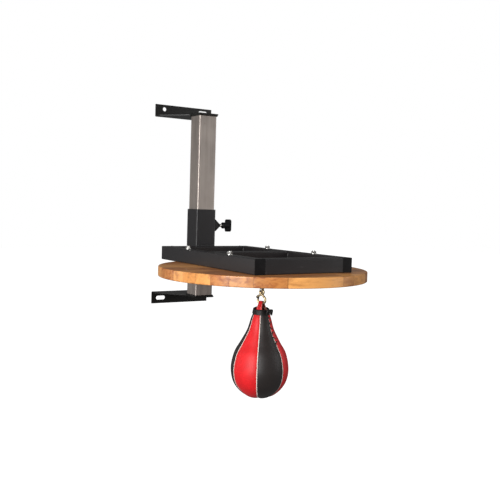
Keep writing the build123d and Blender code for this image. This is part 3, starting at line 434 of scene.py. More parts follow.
def suede(name, colour):
    """The strap's unfinished side and cut edges."""
    finish = Finish(name, colour, Sheen_Weight=0.2)
    fibre = finish.noise(1300, detail=4, stretch=(1, 1, 0.5))
    patch = finish.noise(120, detail=3)
    tint = finish.mix(fibre.rise(0.3, 0.7), shade(colour, 0.7), shade(colour, 1.1))
    finish.feed("Base Color", finish.mix(patch.rise(0.5, 0.8) * 0.3, tint, shade(colour, 0.6)))
    finish.feed("Roughness", 0.75 + fibre * 0.15)
    finish.relief(fibre, 0.18 * MM)
    return finish.material


def corded(name, colour, scale, roughness):
    """Twisted or braided yarn: slanting strands over a fibrous surface, with painted shade darkening the
    grooves between the strands.
    """
    finish = Finish(name, colour, Sheen_Weight=0.12)
    x, y, z = finish.axes()
    strand = ((x + y) * scale + z * scale * 1.6).sine() * 0.5 + 0.5
    fuzz = finish.noise(1800, detail=3)
    soil = finish.noise(70, detail=4, seed=5.0)
    # painted shade: darker in the grooves between the strands
    tint = finish.mix(strand.rise(0.0, 0.6), shade(colour, 0.66), colour)
    finish.feed("Base Color", finish.mix(soil.rise(0.5, 0.75) * 0.3, tint, shade(colour, 0.72)))
    finish.feed("Roughness", roughness + fuzz * 0.15)
    finish.relief(strand * 0.7 + fuzz * 0.3, 0.14 * MM)
    return finish.material


def moulded_rubber(colour):
    """Rubber with a pale bloom."""
    finish = Finish("moulded_rubber", colour, Specular_IOR_Level=0.3)
    bloom = finish.noise(60, detail=4)
    texture = finish.noise(1100, detail=2)
    finish.feed("Base Color", finish.mix(bloom.rise(0.4, 0.75), colour, shade(colour, 1.9)))
    finish.feed("Roughness", 0.66 + bloom * 0.16)
    finish.relief(texture, 0.06 * MM)
    return finish.material


def floor_paint(colour):
    """A pale floor that is as bright as the room."""
    finish = Finish("floor_paint", colour, Specular_IOR_Level=0.1)
    rolled = finish.noise(40, detail=3)
    finish.feed("Base Color", finish.mix(rolled.rise(0.3, 0.7), shade(colour, 0.985), colour))
    finish.feed("Roughness", 0.8 + rolled * 0.1)
    finish.shader.inputs["Emission Color"].default_value = (1, 1, 1, 1)
    finish.shader.inputs["Emission Strength"].default_value = 1.0
    return finish.material


# each makes its finish from the user's colours c and sizes s
FINISHES = {
    "paint": lambda c, s: powder_coat("frame_powder_coat", c.frame_paint),
    "bracket": lambda c, s: powder_coat("bracket_powder_coat", c.bracket_paint),
    "steel": lambda c, s: drawn_steel(c.post_steel),
    "plastic": lambda c, s: moulded_plastic(c.plastic),
    "wood": lambda c, s: laminated_wood(c.wood_light, c.wood_dark, s.stave_width, s.stave_length),
    "zinc": lambda c, s: plated("bright_zinc_plate", c.zinc, 0.2),
    "bearing": lambda c, s: plated("ground_bearing_steel", c.bearing, 0.1, edge=0.2 * MM),
    "brass": lambda c, s: plated("polished_brass", c.brass, 0.28),
    "gate": lambda c, s: plated("oxidised_gate_steel", c.gate, 0.3, edge=0.4 * MM),
    # each leather's last number is how dark its painted shade in the pebble grooves and creases is
    "red": lambda c, s: leather("red_leather", c.red_leather, 0.55),
    "black": lambda c, s: leather("black_leather", c.black_leather, 0.45),
    "collar": lambda c, s: leather("collar_leather", c.collar, 0.5),
    "suede": lambda c, s: suede("strap_suede", c.strap_inside),
    "piping": lambda c, s: corded("corded_piping", c.piping, 2600, 0.55),
    "lace": lambda c, s: corded("waxed_lace", c.lace, 2200, 0.36),
    "thread": lambda c, s: corded("sewing_thread", c.piping, 5200, 0.5),
    "rubber": lambda c, s: moulded_rubber(c.rubber),
    "floor": lambda c, s: floor_paint(c.floor),
}
MADE_FINISHES = {}


def finish_of(name):
    """The finish of that name, made once."""
    if name not in MADE_FINISHES:
        scene = bpy.context.scene
        MADE_FINISHES[name] = FINISHES[name](scene.speed_bag_colours, scene.speed_bag_sizes)
    return MADE_FINISHES[name]


def dress(finish, *nodes):
    """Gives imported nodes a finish; their shapes stay as they are."""
    for node in nodes:
        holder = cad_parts[node]
        if not holder.material_slots:
            holder.data.materials.append(None)
        for material_slot in holder.material_slots:
            material_slot.material = finish_of(finish)


# ---- mesh work ----
def loft(rows, closed=False, ringed=True, capped=True):
    """Points and faces of a skin over rows of points. closed joins the last row to the first, ringed joins
    each row's two ends, and capped fills the two ends of a ringed skin that isn't closed."""
    rows = np.asarray(rows, float)
    count, width = rows.shape[:2]
    faces = []
    for row in range(count if closed else count - 1):
        here, there = row * width, (row + 1) % count * width
        for place in range(width if ringed else width - 1):
            beside = (place + 1) % width
            faces.append((here + place, here + beside, there + beside, there + place))
    if capped and ringed and not closed:
        faces.append(tuple(reversed(range(width))))
        faces.append(tuple(range((count - 1) * width, count * width)))
    return rows.reshape(-1, 3), faces


def merge(parts):
    """Several (points, faces) pairs as one."""
    points, faces, start = [], [], 0
    for part_points, part_faces in parts:
        points.append(np.asarray(part_points, float))
        faces.extend(tuple(index + start for index in face) for face in part_faces)
        start += len(part_points)
    return np.concatenate(points), faces


def cord(path, width, thickness=None, normals=None, closed=False, sides=10):
    """An oval cord along a path. With normals, its width lies across them."""
    path = np.asarray(path, float)
    thickness = width if thickness is None else thickness
    widths = np.broadcast_to(np.asarray(width, float), len(path))
    thicknesses = np.broadcast_to(np.asarray(thickness, float), len(path))
    if closed:
        tangents = np.roll(path, -1, axis=0) - np.roll(path, 1, axis=0)
    else:
        tangents = np.gradient(path, axis=0)
    tangents /= np.linalg.norm(tangents, axis=1)[:, None]
    lift = np.array((0.0, 0.0, 1.0)) if abs(tangents[0][2]) < 0.9 else np.array((1.0, 0.0, 0.0))
    angles = np.arange(sides) * 2 * pi / sides
    rows = []
    for index, (point, tangent) in enumerate(zip(path, tangents)):
        if normals is not None:
            lift = np.asarray(normals[index], float)
        lift = lift - tangent * lift.dot(tangent)
        lift /= np.linalg.norm(lift)
        across = np.cross(tangent, lift)
        ring = [
            point + across * cos(angle) * widths[index] / 2 + lift * sin(angle) * thicknesses[index] / 2
            for angle in angles
        ]
        rows.append(ring)
    return loft(rows, closed=closed)


def smooth_path(points, per_span):
    """A smooth curve through points, with a number of steps in each span."""
    points = np.asarray(points, float)
    padded = np.concatenate((2 * points[:1] - points[1:2], points, 2 * points[-1:] - points[-2:-1]))
    curve = []
    for span in range(len(points) - 1):
        before, start, end, after = padded[span : span + 4]
        for step in range(per_span):
            t = step / per_span
            curve.append(
                0.5
                * (
                    2 * start
                    + (end - before) * t
                    + (2 * before - 5 * start + 4 * end - after) * t**2
                    + (3 * start - before - 3 * end + after) * t**3
                )
            )
    curve.append(points[-1])
    return np.array(curve)


def evenly(points, count):
    """A path's points, spaced evenly along it."""
    points = np.asarray(points, float)
    steps = np.linalg.norm(np.diff(points, axis=0), axis=1)
    along = np.concatenate(((0.0,), np.cumsum(steps)))
    wanted = np.linspace(0, along[-1], count)
    return np.stack([np.interp(wanted, along, points[:, axis]) for axis in range(points.shape[1])], axis=1)


def path_length(points):
    """A path's length."""
    return float(np.linalg.norm(np.diff(np.asarray(points, float), axis=0), axis=1).sum())


def turned(profile, centre, steps=64):
    """A closed (radius, height) outline turned about the vertical axis through a centre (x, y)."""
    rows = []
    for step in range(steps):
        angle = step * 2 * pi / steps
        rows.append([(centre[0] + r * cos(angle), centre[1] + r * sin(angle), z) for r, z in profile])
    return loft(rows, closed=True)


def make_piece(name, shape, body, slot, *finishes, replaces=(), chosen=None, sharp=40):
    """A finished mesh object that rides on a body. chosen gives each face's place in the finishes."""
    points, faces = shape
    mesh = bpy.data.meshes.new(name)
    mesh.from_pydata([tuple(point) for point in points], [], faces)
    mesh.validate()
    mesh.update()
    piece = bpy.data.objects.new(name, mesh)
    bpy.context.scene.collection.objects.link(piece)
    for finish in finishes:
        mesh.materials.append(finish_of(finish))
    if chosen is not None:
        for polygon, place in zip(mesh.polygons, chosen):
            polygon.material_index = place
    mesh.shade_smooth()
    mesh.set_sharp_from_angle(angle=radians(sharp))
    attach(piece, body)
    if replaces:
        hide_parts(*replaces)
    return piece


def weld_bead(path, width, closed=False):
    """A hand-laid weld bead: its ripples and its wandering come from slow and quick waves along it."""
    count = max(8, round(path_length(path) / BEAD_STEP))
    if closed:
        path = np.concatenate((path, path[:1]))
        fine = evenly(path, count + 1)[:-1]
    else:
        fine = evenly(path, count)
    along = np.arange(len(fine)) * BEAD_STEP / MM
    ripple = 1 + 0.13 * np.sin(along * 2.1 + 0.9 * np.sin(along * 0.31)) + 0.09 * np.sin(along * 0.47 + 1.3)
    if not closed:
        ends = np.minimum(np.arange(len(fine)), np.arange(len(fine))[::-1])
        ripple = ripple * np.clip(0.45 + ends * 0.18, 0, 1)
    return cord(fine, width * ripple, closed=closed, sides=9)


def rounded_square(centre, half, corner, height, steps=5):
    """A closed level path round a square with rounded corners."""
    path = []
    for quarter in range(4):
        sign_x, sign_y = ((1, 1), (-1, 1), (-1, -1), (1, -1))[quarter]
        for step in range(steps + 1):
            angle = pi / 2 * (quarter + step / steps)
            path.append(
                (
                    centre[0] + sign_x * (half - corner) + corner * cos(angle),
                    centre[1] + sign_y * (half - corner) + corner * sin(angle),
                    height,
                )
            )
    return np.array(path)


def hexagon_nut(centre, flats, bore, height, chamfer, steps=72):
    """A nut whose corners are turned off at both ends. centre is the middle of its seat."""
    rows = []
    reach = flats / 2 / cos(pi / 6)
    for step in range(steps):
        angle = step * 2 * pi / steps
        facet = (angle + pi / 6) % (pi / 3) - pi / 6
        side = flats / 2 / cos(facet)
        face = flats / 2 * 0.96
        fall = max(0.0, side - face) / (reach - face) * chamfer
        profile = (
            (bore / 2, 0.0),
            (face, 0.0),
            (side, fall + 0.02 * MM),
            (side, height - fall - 0.02 * MM),
            (face, height),
            (bore / 2 + 0.5 * MM, height),
            (bore / 2, height - 0.5 * MM),
        )
        rows.append(
            [(centre[0] + r * cos(angle), centre[1] + r * sin(angle), centre[2] + z) for r, z in profile]
        )
    return loft(rows, closed=True)


def stitches(path, normals, length, gap, width):
    """A row of stitches on a surface: short threads that rise from one hole and sink into the next."""
    path, normals = np.asarray(path, float), np.asarray(normals, float)
    total = path_length(path)
    steps = np.linalg.norm(np.diff(path, axis=0), axis=1)
    along = np.concatenate(((0.0,), np.cumsum(steps)))
    parts = []
    for index in range(int(total / (length + gap))):
        start = index * (length + gap)
        places = start + np.linspace(0, 1, 7) * length
        points = np.stack([np.interp(places, along, path[:, axis]) for axis in range(3)], axis=1)
        lifts = np.stack([np.interp(places, along, normals[:, axis]) for axis in range(3)], axis=1)
        lifts /= np.linalg.norm(lifts, axis=1)[:, None]
        rise = np.sin(np.linspace(0, 1, 7) * pi) * 1.1 - 0.5
        parts.append(cord(points + lifts * (rise * width / 2)[:, None], width, normals=lifts, sides=6))
    return merge(parts)


# ---- post, brackets and frame ----
def build_post(sizes):
    """Brackets and post, with a weld bead round each end of the post."""
    dress("bracket", "lower_wall_bracket", "upper_wall_bracket")
    dress("steel", "post")
    low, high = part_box("post")
    centre = ((low.x + high.x) / 2, (low.y + high.y) / 2)
    half = (high.x - low.x) / 2
    sink = sizes.bead_width * 0.18
    rings = []
    for height in (low.z + sink, high.z - sink):
        ring = rounded_square(centre, half + sink, POST_CORNER, height)
        rings.append(weld_bead(ring, sizes.bead_width, closed=True))
    make_piece("post_weld_beads", merge(rings), "wall_mount", "black_paint", "bracket", sharp=80)


def build_frame(sizes):
    """Sleeve, rails and plugs, with beads at the cross rails' ends and where the sleeve meets the frame."""
    rails = ("left_side_rail", "right_side_rail", "rear_cross_rail", "middle_cross_rail", "front_cross_rail")
    dress("paint", "sleeve", *rails)
    dress("plastic", "rear_left_plug", "rear_right_plug", "front_left_plug", "front_right_plug")
    beads = []
    inset = 2 * MM
    corner_width = sizes.bead_width * 0.85
    for name in rails[2:]:
        low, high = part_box(name)
        faces = [low.y, high.y]
        if name == "rear_cross_rail":
            faces = [low.y]
        if name == "front_cross_rail":
            faces = [high.y]
        for x in (low.x, high.x):
            for y in faces:
                corner = np.array([(x, y, low.z + inset), (x, y, high.z - inset)])
                beads.append(weld_bead(corner, corner_width))
            height = high.z - 0.4 * MM
            top = np.array([(x, low.y + inset, height), (x, high.y - inset, height)])
            beads.append(weld_bead(top, sizes.bead_width * 0.45))
    sleeve_low, sleeve_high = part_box("sleeve")
    rail_low, rail_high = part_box("rear_cross_rail")
    flat = (sleeve_high.x - sleeve_low.x) / 2 - 6 * MM
    for side in (-1, 1):
        x = side * flat
        y = sleeve_low.y + 1.2 * MM
        beads.append(weld_bead(np.array([(x, y, rail_low.z), (x, y, rail_high.z)]), sizes.bead_width))
    y = sleeve_low.y - 0.6 * MM
    across = np.array([(-flat, y, rail_high.z + 0.6 * MM), (flat, y, rail_high.z + 0.6 * MM)])
    beads.append(weld_bead(across, sizes.bead_width))
    make_piece("frame_weld_beads", merge(beads), "carriage", "black_paint", "paint", sharp=80)


# ---- height clamp ----
def clamp_thread(low, high, y, z, sizes):
    """The clamp screw: a plain spigot for the pad at its low end, then a thread up to its high end."""
    radius = (high.z - low.z) / 2
    depth = sizes.thread_pitch * 0.4
    start = low.x + SPIGOT_LENGTH
    turns = np.arange(THREAD_SIDES) * 2 * pi / THREAD_SIDES
    count = round((high.x - start) / (sizes.thread_pitch / 6))
    rows = [[(low.x, y, z)] * THREAD_SIDES]
    for x, r in ((low.x, radius * 0.42), (low.x + 0.4 * MM, radius / 2), (start, radius / 2)):
        rows.append([(x, y + r * cos(angle), z + r * sin(angle)) for angle in turns])
    for row in range(count + 1):
        x = start + (high.x - start) * row / count
        ring = []
        for angle in turns:
            phase = ((x - low.x) / sizes.thread_pitch - angle / (2 * pi)) % 1
            r = radius - depth * abs(2 * phase - 1)
            ring.append((x, y + r * cos(angle), z + r * sin(angle)))
        rows.append(ring)
    rows.append([(high.x, y, z)] * THREAD_SIDES)
    return loft(rows, capped=False)


def build_clamp(sizes):
    """Boss, pad and knob, with the boss's weld bead and the threaded screw."""
    dress("paint", "clamp_boss")
    dress("plastic", "clamp_knob")
    dress("brass", "clamp_pad")
    boss_low, boss_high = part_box("clamp_boss")
    y, z = (boss_low.y + boss_high.y) / 2, (boss_low.z + boss_high.z) / 2
    reach = (boss_high.z - boss_low.z) / 2
    turns = np.linspace(0, 2 * pi, 48)[:-1]
    circle = [(boss_low.x, y + reach * cos(angle), z + reach * sin(angle)) for angle in turns]
    bead = weld_bead(np.array(circle), sizes.bead_width * 0.8, closed=True)
    make_piece("boss_weld_bead", bead, "carriage", "black_paint", "paint", sharp=80)
    make_piece(
        "threaded_clamp_screw",
        clamp_thread(*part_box("clamp_screw"), y, z, sizes),
        "clamp_handle",
        "zinc_plate",
        "zinc",
        replaces=("clamp_screw",),
        sharp=60,
    )


# ---- board and fasteners ----
def build_board():
    """The round board keeps its shape and takes the wood."""
    dress("wood", "board")


def build_fasteners(sizes):
    """Bolts and washers, and a chamfered nut on each bolt."""
    dress("zinc", "board_bolts", "board_washers")
    low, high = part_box("board_nuts")
    bolt_low, bolt_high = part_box("board_bolts")
    reach_x = (bolt_high.x - bolt_low.x) / 2 - BOLT_HEAD_RADIUS
    bolt_middle = (bolt_low.y + bolt_high.y) / 2
    reach_y = (bolt_high.y - bolt_low.y) / 2 - BOLT_HEAD_RADIUS
    nuts = []
    for side in (-1, 1):
        for end in (-1, 1):
            seat = (side * reach_x, bolt_middle + end * reach_y, low.z)
            nuts.append(hexagon_nut(seat, NUT_FLATS, NUT_BORE, high.z - low.z, NUT_CHAMFER))
    make_piece(
        "chamfered_nuts", merge(nuts), "carriage", "zinc_plate", "zinc", replaces=("board_nuts",), sharp=25
    )


def build_swivel():
    """Plate, housing, spindle and nut, and the bearing inside."""
    dress("zinc", "swivel_plate", "swivel_screws", "swivel_housing", "swivel_eye", "spindle_nut")
    dress("bearing", "lower_race", "upper_race", "bearing_balls")
    dress("brass", "ball_cage")


def build_hook():
    """Snap hook, gate and pin."""
    dress("brass", "snap_hook")
    dress("gate", "hook_gate")
    dress("zinc", "gate_pin")


# ---- the bag ----
def bag_profile(count):
    """(radius, height) points down the bag's side, evenly spaced, from its neck to the foot of its axis."""
    swell, drop = BAG_RADIUS - NECK_RADIUS, BAG_TOP - BAG_BELLY
    knots = [(NECK_RADIUS + across * swell, BAG_TOP - down * drop) for across, down in BAG_SHOULDER]
    for angle in (radians(30), radians(60), radians(90)):
        knots.append((BAG_RADIUS * cos(angle), BAG_BELLY - BAG_RADIUS * sin(angle)))
    return evenly(smooth_path(knots, 24), count)


class BagSkin:
    """The outside of the leather: a point for each direction round the axis and place down the side."""

    def __init__(self, sizes):
        self.profile = bag_profile(600)
        tangents = np.gradient(self.profile, axis=0)
        tangents /= np.linalg.norm(tangents, axis=1)[:, None]
        self.normals = np.stack((-tangents[:, 1], tangents[:, 0]), axis=1)
        self.length = path_length(self.profile)
        self.sizes = sizes

    def at(self, share):
        """(radius, height, outward radius, outward height) at a share of the side's length."""
        place = np.clip(share, 0, 1) * (len(self.profile) - 1)
        low = min(int(place), len(self.profile) - 2)
        part = place - low
        point = self.profile[low] * (1 - part) + self.profile[low + 1] * part
        normal = self.normals[low] * (1 - part) + self.normals[low + 1] * part
        return point[0], point[1], normal[0], normal[1]

    def depth(self, angle, share):
        """How far the leather lies inside the plain shape: in at the seams and neck, out between seams."""
        sizes = self.sizes
        sector = 2 * pi / SEAMS
        from_middle = abs((angle - FIRST_SEAM) % sector / sector * 2 - 1)
        along = share * self.length
        pull = sizes.seam_pull * from_middle**4
        wave = 0.5 + 0.5 * sin(2 * pi * along / sizes.pucker_pitch + 5 * angle)
        pucker = sizes.pucker_depth * wave * from_middle**12 * min(1, share * 12)
        fold = 0.5 + 0.5 * sin(angle * 30 + 1.3 * sin(angle * 7))
        gather = sizes.gather_depth * fold * exp(-along / 0.022)
        uneven = 0.5 * MM * (0.5 + 0.5 * sin(3 * angle + 21 * share) * sin(9 * share + 1.7))
        fade = min(1, (1 - share) * 14)
        swell = sizes.panel_swell * (1 - from_middle**2)
        return (pull + pucker + gather + uneven - swell) * fade

    def point(self, angle, share, lift=0.0):
        radius, height, out, up = self.at(share)
        offset = lift - self.depth(angle, share)
        radius = radius + offset * out
        return (radius * cos(angle), BAG_AXIS_Y + radius * sin(angle), height + offset * up)

    def normal(self, angle, share):
        out, up = self.at(share)[2:]
        return (out * cos(angle), out * sin(angle), up)


def panel_shape(skin, first_angle, sizes):
    """One leather panel: a closed shell whose two long edges roll down beside the piping."""
    half_sector = pi / SEAMS
    middle = first_angle + half_sector
    roll = 1.2 * MM
    rows = []
    for share in np.linspace(0.0, 0.982, 134):
        radius = skin.at(share)[0]
        half_width = max(radius * half_sector - sizes.piping_width * 0.42, 0.25 * MM)
        edge = min(roll, half_width * 0.4)
        flat = half_width - edge
        outer = [(place * flat, 0.0) for place in np.linspace(-1, 1, 17)]
        bend = [(flat + edge * sin(t), edge * (1 - cos(t))) for t in np.linspace(0, pi / 2, 5)[1:]]
        right = bend + [(half_width, LEATHER)]
        left = [(-across, depth) for across, depth in reversed(right)]
        inner = [(place * flat, LEATHER) for place in np.linspace(1, -1, 7)]
        row = []
        for across, depth in left + outer + right + inner:
            row.append(skin.point(middle + across / max(radius, 1e-6), share, -depth))
        rows.append(row)
    return loft(rows)


def build_panels(sizes):
    """Six leather panels, black and red in turn, each blown up over the bladder."""
    skin = BagSkin(sizes)
    for index in range(SEAMS):
        colour = ("black", "red")[index % 2]
        number = index // 2 + 1
        shape = panel_shape(skin, FIRST_SEAM + index * 2 * pi / SEAMS, sizes)
        panel = make_piece(
            f"sewn_{colour}_panel_{number}",
            shape,
            "speed_bag",
            f"{colour}_leather",
            colour,
            replaces=(f"{colour}_panel_{number}",),
            sharp=75,
        )


def build_piping(sizes):
    """A cord of piping in each seam."""
    skin = BagSkin(sizes)
    strips = []
    for index in range(SEAMS):
        angle = FIRST_SEAM + index * 2 * pi / SEAMS
        lift = sizes.piping_proud - sizes.piping_width / 2
        shares = np.linspace(0.0, 0.985, 230)
        path = [skin.point(angle, share, lift) for share in shares]
        normals = [skin.normal(angle, share) for share in shares]
        taper = np.clip((1 - shares) * 40, 0.45, 1)
        strips.append(cord(path, sizes.piping_width * taper, normals=normals, sides=10))
    make_piece(
        "corded_piping", merge(strips), "speed_bag", "piping", "piping", replaces=("seam_piping",), sharp=80
    )


def build_bladder(sizes):
    """The rubber bladder inside the leather, with moulded ribs, and its valve."""
    skin = BagSkin(sizes)
    depth = SKIN_DEPTH + 1.6 * MM  # clear of the panels where they are drawn in
    rows = []
    for angle in np.arange(96) * 2 * pi / 96:
        rib = 0.25 * MM * max(0.0, cos(angle * 4)) ** 8
        outline = []
        for inset in (depth - rib, depth + BLADDER_WALL):
            side = []
            for share in np.linspace(0.01, 0.983, 60):
                radius, height, out, up = skin.at(share)
                radius = max(radius - inset * out, 3.6 * MM)
                side.append((radius * cos(angle), BAG_AXIS_Y + radius * sin(angle), height - inset * up))
            outline.append(side)
        rows.append(outline[0] + outline[1][::-1])
    make_piece(
        "moulded_bladder",
        loft(rows, closed=True),
        "speed_bag",
        "bladder_rubber",
        "rubber",
        replaces=("bladder",),
    )
    low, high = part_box("bladder_valve")
    radius = (high.x - low.x) / 2
    outline = (
        (0.9 * MM, low.z),
        (radius - 0.4 * MM, low.z),
        (radius, low.z + 0.4 * MM),
        (radius, high.z - 0.8 * MM),
        (radius - 0.8 * MM, high.z),
        (0.6 * MM, high.z),
        (0.6 * MM, low.z + 3 * MM),
    )
    make_piece(
        "needle_valve",
        turned(outline, (0, BAG_AXIS_Y), 40),
        "speed_bag",
        "bladder_rubber",
        "rubber",
        replaces=("bladder_valve",),
    )


def collar_tilt(angle):
    """How much higher the collar sits at an angle: it is drawn down on the side that faces out."""
    return -2.4 * MM * cos(angle - radians(248)) + 0.35 * MM * sin(5 * angle)


def build_neck(sizes):
    """The neck's leather disc and the black collar round it, with their stitches."""
    radius = NECK_RADIUS - DISC_GAP
    rows = []
    for angle in np.arange(72) * 2 * pi / 72:
        profile = (
            (0.02 * MM, NECK_LOW.z),
            (radius - 0.6 * MM, NECK_LOW.z),
            (radius, NECK_LOW.z + 0.6 * MM),
            (radius, NECK_HIGH.z - 1.0 * MM),
            (radius - 0.9 * MM, NECK_HIGH.z - 0.15 * MM),
            (radius * 0.72, NECK_HIGH.z),
            (radius * 0.36, NECK_HIGH.z - 0.3 * MM),
            (0.02 * MM, NECK_HIGH.z - 0.35 * MM),
        )
        rows.append([(r * cos(angle), BAG_AXIS_Y + r * sin(angle), z) for r, z in profile])
    make_piece(
        "neck_disc", loft(rows, closed=True), "speed_bag", "black_leather", "black", replaces=("neck_cap",)
    )

    low, high = COLLAR_LOW.z, COLLAR_HIGH.z
    low_radius = (COLLAR_HIGH.x - COLLAR_LOW.x) / 2
    high_radius = low_radius - (high - low) * COLLAR_FLARE
    rows = []
    band_normals, low_path, high_path = [], [], []
    for angle in np.arange(144) * 2 * pi / 144:
        section = []
        lift = collar_tilt(angle)
        swell = 0.35 * MM * sin(angle * 9 + 2 * sin(angle * 2))
        for t in np.arange(20) * 2 * pi / 20:
            up = 0.5 + 0.5 * max(-1.0, min(1.0, 1.25 * sin(t)))
            out = max(-1.0, min(1.0, 1.9 * cos(t)))
            bulge = 0.5 * MM * sin(pi * up)
            r = low_radius + (high_radius - low_radius) * up + (out - 1) * COLLAR_THICKNESS / 2
            r += bulge + swell * up
            section.append((r * cos(angle), BAG_AXIS_Y + r * sin(angle), low + (high - low) * up + lift))
        rows.append(section)
        band_normals.append((cos(angle), sin(angle), COLLAR_FLARE))
        for path, up in ((low_path, 0.16), (high_path, 0.84)):
            r = low_radius + (high_radius - low_radius) * up + 0.5 * MM * sin(pi * up) + swell * up
            path.append((r * cos(angle), BAG_AXIS_Y + r * sin(angle), low + (high - low) * up + lift))
    make_piece(
        "collar_band",
        loft(rows, closed=True),
        "speed_bag",
        "black_leather",
        "collar",
        replaces=("bag_collar",),
        sharp=80,
    )
    rows_of_stitches = [
        stitches(path, band_normals, sizes.stitch_length, COLLAR_STITCH_GAP, sizes.thread_width)
        for path in (low_path, high_path)
    ]
    make_piece("collar_stitches", merge(rows_of_stitches), "speed_bag", "lace_cord", "lace", sharp=80)


def strap_route():
    """(across, height) points of the strap's middle line, from one foot over the hook's bar to the other."""
    bar = STRAP_HIGH.z - STRAP_BEND - STRAP_THICKNESS
    middle = STRAP_BEND + STRAP_THICKNESS / 2
    half_reach = (STRAP_HIGH.x - STRAP_LOW.x - abs(cos(HOOK_TURN)) * STRAP_FOOT) / 2
    spread = half_reach / abs(cos(STRAP_TURN)) - STRAP_THICKNESS / 2
    foot = (spread, STRAP_LOW.z - bar)
    tangent = atan2(foot[1], foot[0]) + acos(middle / hypot(*foot))
    touch = (middle * cos(tangent), middle * sin(tangent))
    leg = []
    for t in np.linspace(0, 1, 14)[:-1]:
        bow = 0.5 * MM * sin(pi * t)
        leg.append((foot[0] + (touch[0] - foot[0]) * t + bow, bar + foot[1] + (touch[1] - foot[1]) * t))
    arc = [(middle * cos(a), bar + middle * sin(a)) for a in np.linspace(tangent, pi - tangent, 19)]
    return leg + arc + [(-across, height) for across, height in reversed(leg)]


def strap_width(height):
    """The strap is narrow on the bar and wide at its feet."""
    share = (STRAP_HIGH.z - height) / (STRAP_HIGH.z - STRAP_LOW.z)
    return STRAP_TOP + (STRAP_FOOT - STRAP_TOP) * share


def build_strap(sizes):
    """The red strap over the hook: smooth outside, suede inside, cut edges, two rows of stitches."""
    route = np.array(strap_route())
    tangents = np.gradient(route, axis=0)
    tangents /= np.linalg.norm(tangents, axis=1)[:, None]
    outwards = np.stack((tangents[:, 1], -tangents[:, 0]), axis=1)
    across = np.array((cos(STRAP_TURN), sin(STRAP_TURN), 0))
    along_bar = np.array((cos(HOOK_TURN), sin(HOOK_TURN), 0))
    up = np.array((0.0, 0.0, 1.0))
    origin = np.array((0, BAG_AXIS_Y, 0))
    half_thickness = 1.45 * MM
    edge = 0.55 * MM
    rows, sides = [], {-1: [], 1: []}
    normals = []
    for (place, height), (out_across, out_up) in zip(route, outwards):
        centre = origin + across * place + up * height
        outward = across * out_across + up * out_up
        half = strap_width(height) / 2 - 0.1 * MM
        section = []
        for corner in range(4):
            side, face = ((1, 1), (-1, 1), (-1, -1), (1, -1))[corner]
            for t in np.linspace(0, pi / 2, 3):
                turn = t + corner * pi / 2
                w = side * (half - edge) + edge * cos(turn)
                d = face * (half_thickness - edge) + edge * sin(turn)
                section.append(centre + along_bar * w + outward * d)
            if corner in (0, 2):
                for share in (1 / 3, 2 / 3):
                    w = face * (half - edge) * (1 - 2 * share)
                    section.append(centre + along_bar * w + outward * face * half_thickness)
        rows.append(section)
        normals.append(outward)
        for side in sides:
            sides[side].append(centre + along_bar * side * (half - 2.2 * MM) + outward * half_thickness)
    width = len(rows[0])
    red_faces = set(range(1, 7))
    chosen = [0 if index % width in red_faces else 1 for index in range((len(rows) - 1) * width)] + [1, 1]
    make_piece(
        "hook_strap",
        loft(rows),
        "speed_bag",
        "red_leather",
        "red",
        "suede",
        replaces=("strap_loop",),
        chosen=chosen,
        sharp=60,
    )
    seams = []
    for side in sides:
        for part in (slice(1, 13), slice(-13, -1)):
            row, facing = sides[side][part], normals[part]
            seams.append(stitches(row, facing, sizes.stitch_length, STRAP_STITCH_GAP, sizes.thread_width))
    make_piece("strap_stitches", merge(seams), "speed_bag", "piping", "thread", sharp=80)


def lace_points(skin, sizes):
    """The lace's places down its seam: over the piping, down through a hole and up through the next one."""
    on_leather = sizes.lace_thickness * 0.5
    over_piping = sizes.piping_proud + sizes.lace_thickness * 0.62
    under = -sizes.lace_thickness * 0.9
    step = (LACE_LAST - LACE_FIRST) / sizes.lace_crossings
    points, normals = [], []

    def put(turn, share, lift):
        radius = skin.at(share)[0]
        angle = LACED_SEAM + turn / radius
        points.append(skin.point(angle, share, lift))
        normals.append(skin.normal(angle, share))

    for crossing in range(sizes.lace_crossings):
        side = 1 if crossing % 2 else -1
        start = LACE_FIRST + crossing * step
        fall = step * 0.62
        put(side * LACE_HALF_WIDTH, start, under)
        put(side * LACE_HALF_WIDTH * 0.90, start + fall * 0.05, on_leather)
        put(side * LACE_HALF_WIDTH * 0.5, start + fall * 0.25, on_leather * 1.1)
        put(0, start + fall * 0.5, over_piping)
        put(-side * LACE_HALF_WIDTH * 0.5, start + fall * 0.75, on_leather * 1.1)
        put(-side * LACE_HALF_WIDTH * 0.90, start + fall * 0.95, on_leather)
        put(-side * LACE_HALF_WIDTH, start + fall, under)
    return points, normals


def knot_shape(sizes):
    """A trefoil of lace pulled up beside the collar, with its two ends hanging."""
    centre = (KNOT_LOW + KNOT_HIGH) / 2
    reach = (KNOT_HIGH.z - KNOT_LOW.z) / 2 * sizes.knot_fullness
    angle = atan2(centre.y - BAG_AXIS_Y, centre.x)
    out = np.array((cos(angle), sin(angle), 0))
    side = np.array((-sin(angle), cos(angle), 0))
    up = np.array((0.0, 0.0, 1.0))
    middle = np.array(centre) + up * 0.4 * reach
    width = reach * 0.72
    turns = []
    for t in np.arange(90) * 2 * pi / 90:
        a, b, c = sin(t) + 2 * sin(2 * t), cos(t) - 2 * cos(2 * t), -sin(3 * t)
        turns.append(middle + (side * a + up * b) * reach * 0.27 + out * c * reach * 0.42)
    parts = [cord(turns, width, closed=True, sides=10)]
    for way, drop in ((1, 1.0), (-1, 0.8)):
        end = [
            middle + side * way * reach * 0.3,
            middle + side * way * reach * 1.0 + out * reach * 0.35 + up * reach * 0.5,
            middle + side * way * reach * 1.3 + out * reach * 0.3 + up * reach * 0.1,
            middle + side * way * reach * 1.35 + out * reach * 0.1 - up * reach * 0.7 * drop,
            middle + side * way * reach * 1.1 + out * reach * 0.1 - up * reach * 1.5 * drop,
        ]
        parts.append(cord(smooth_path(end, 8), width * 0.9, sides=10))
    return merge(parts)


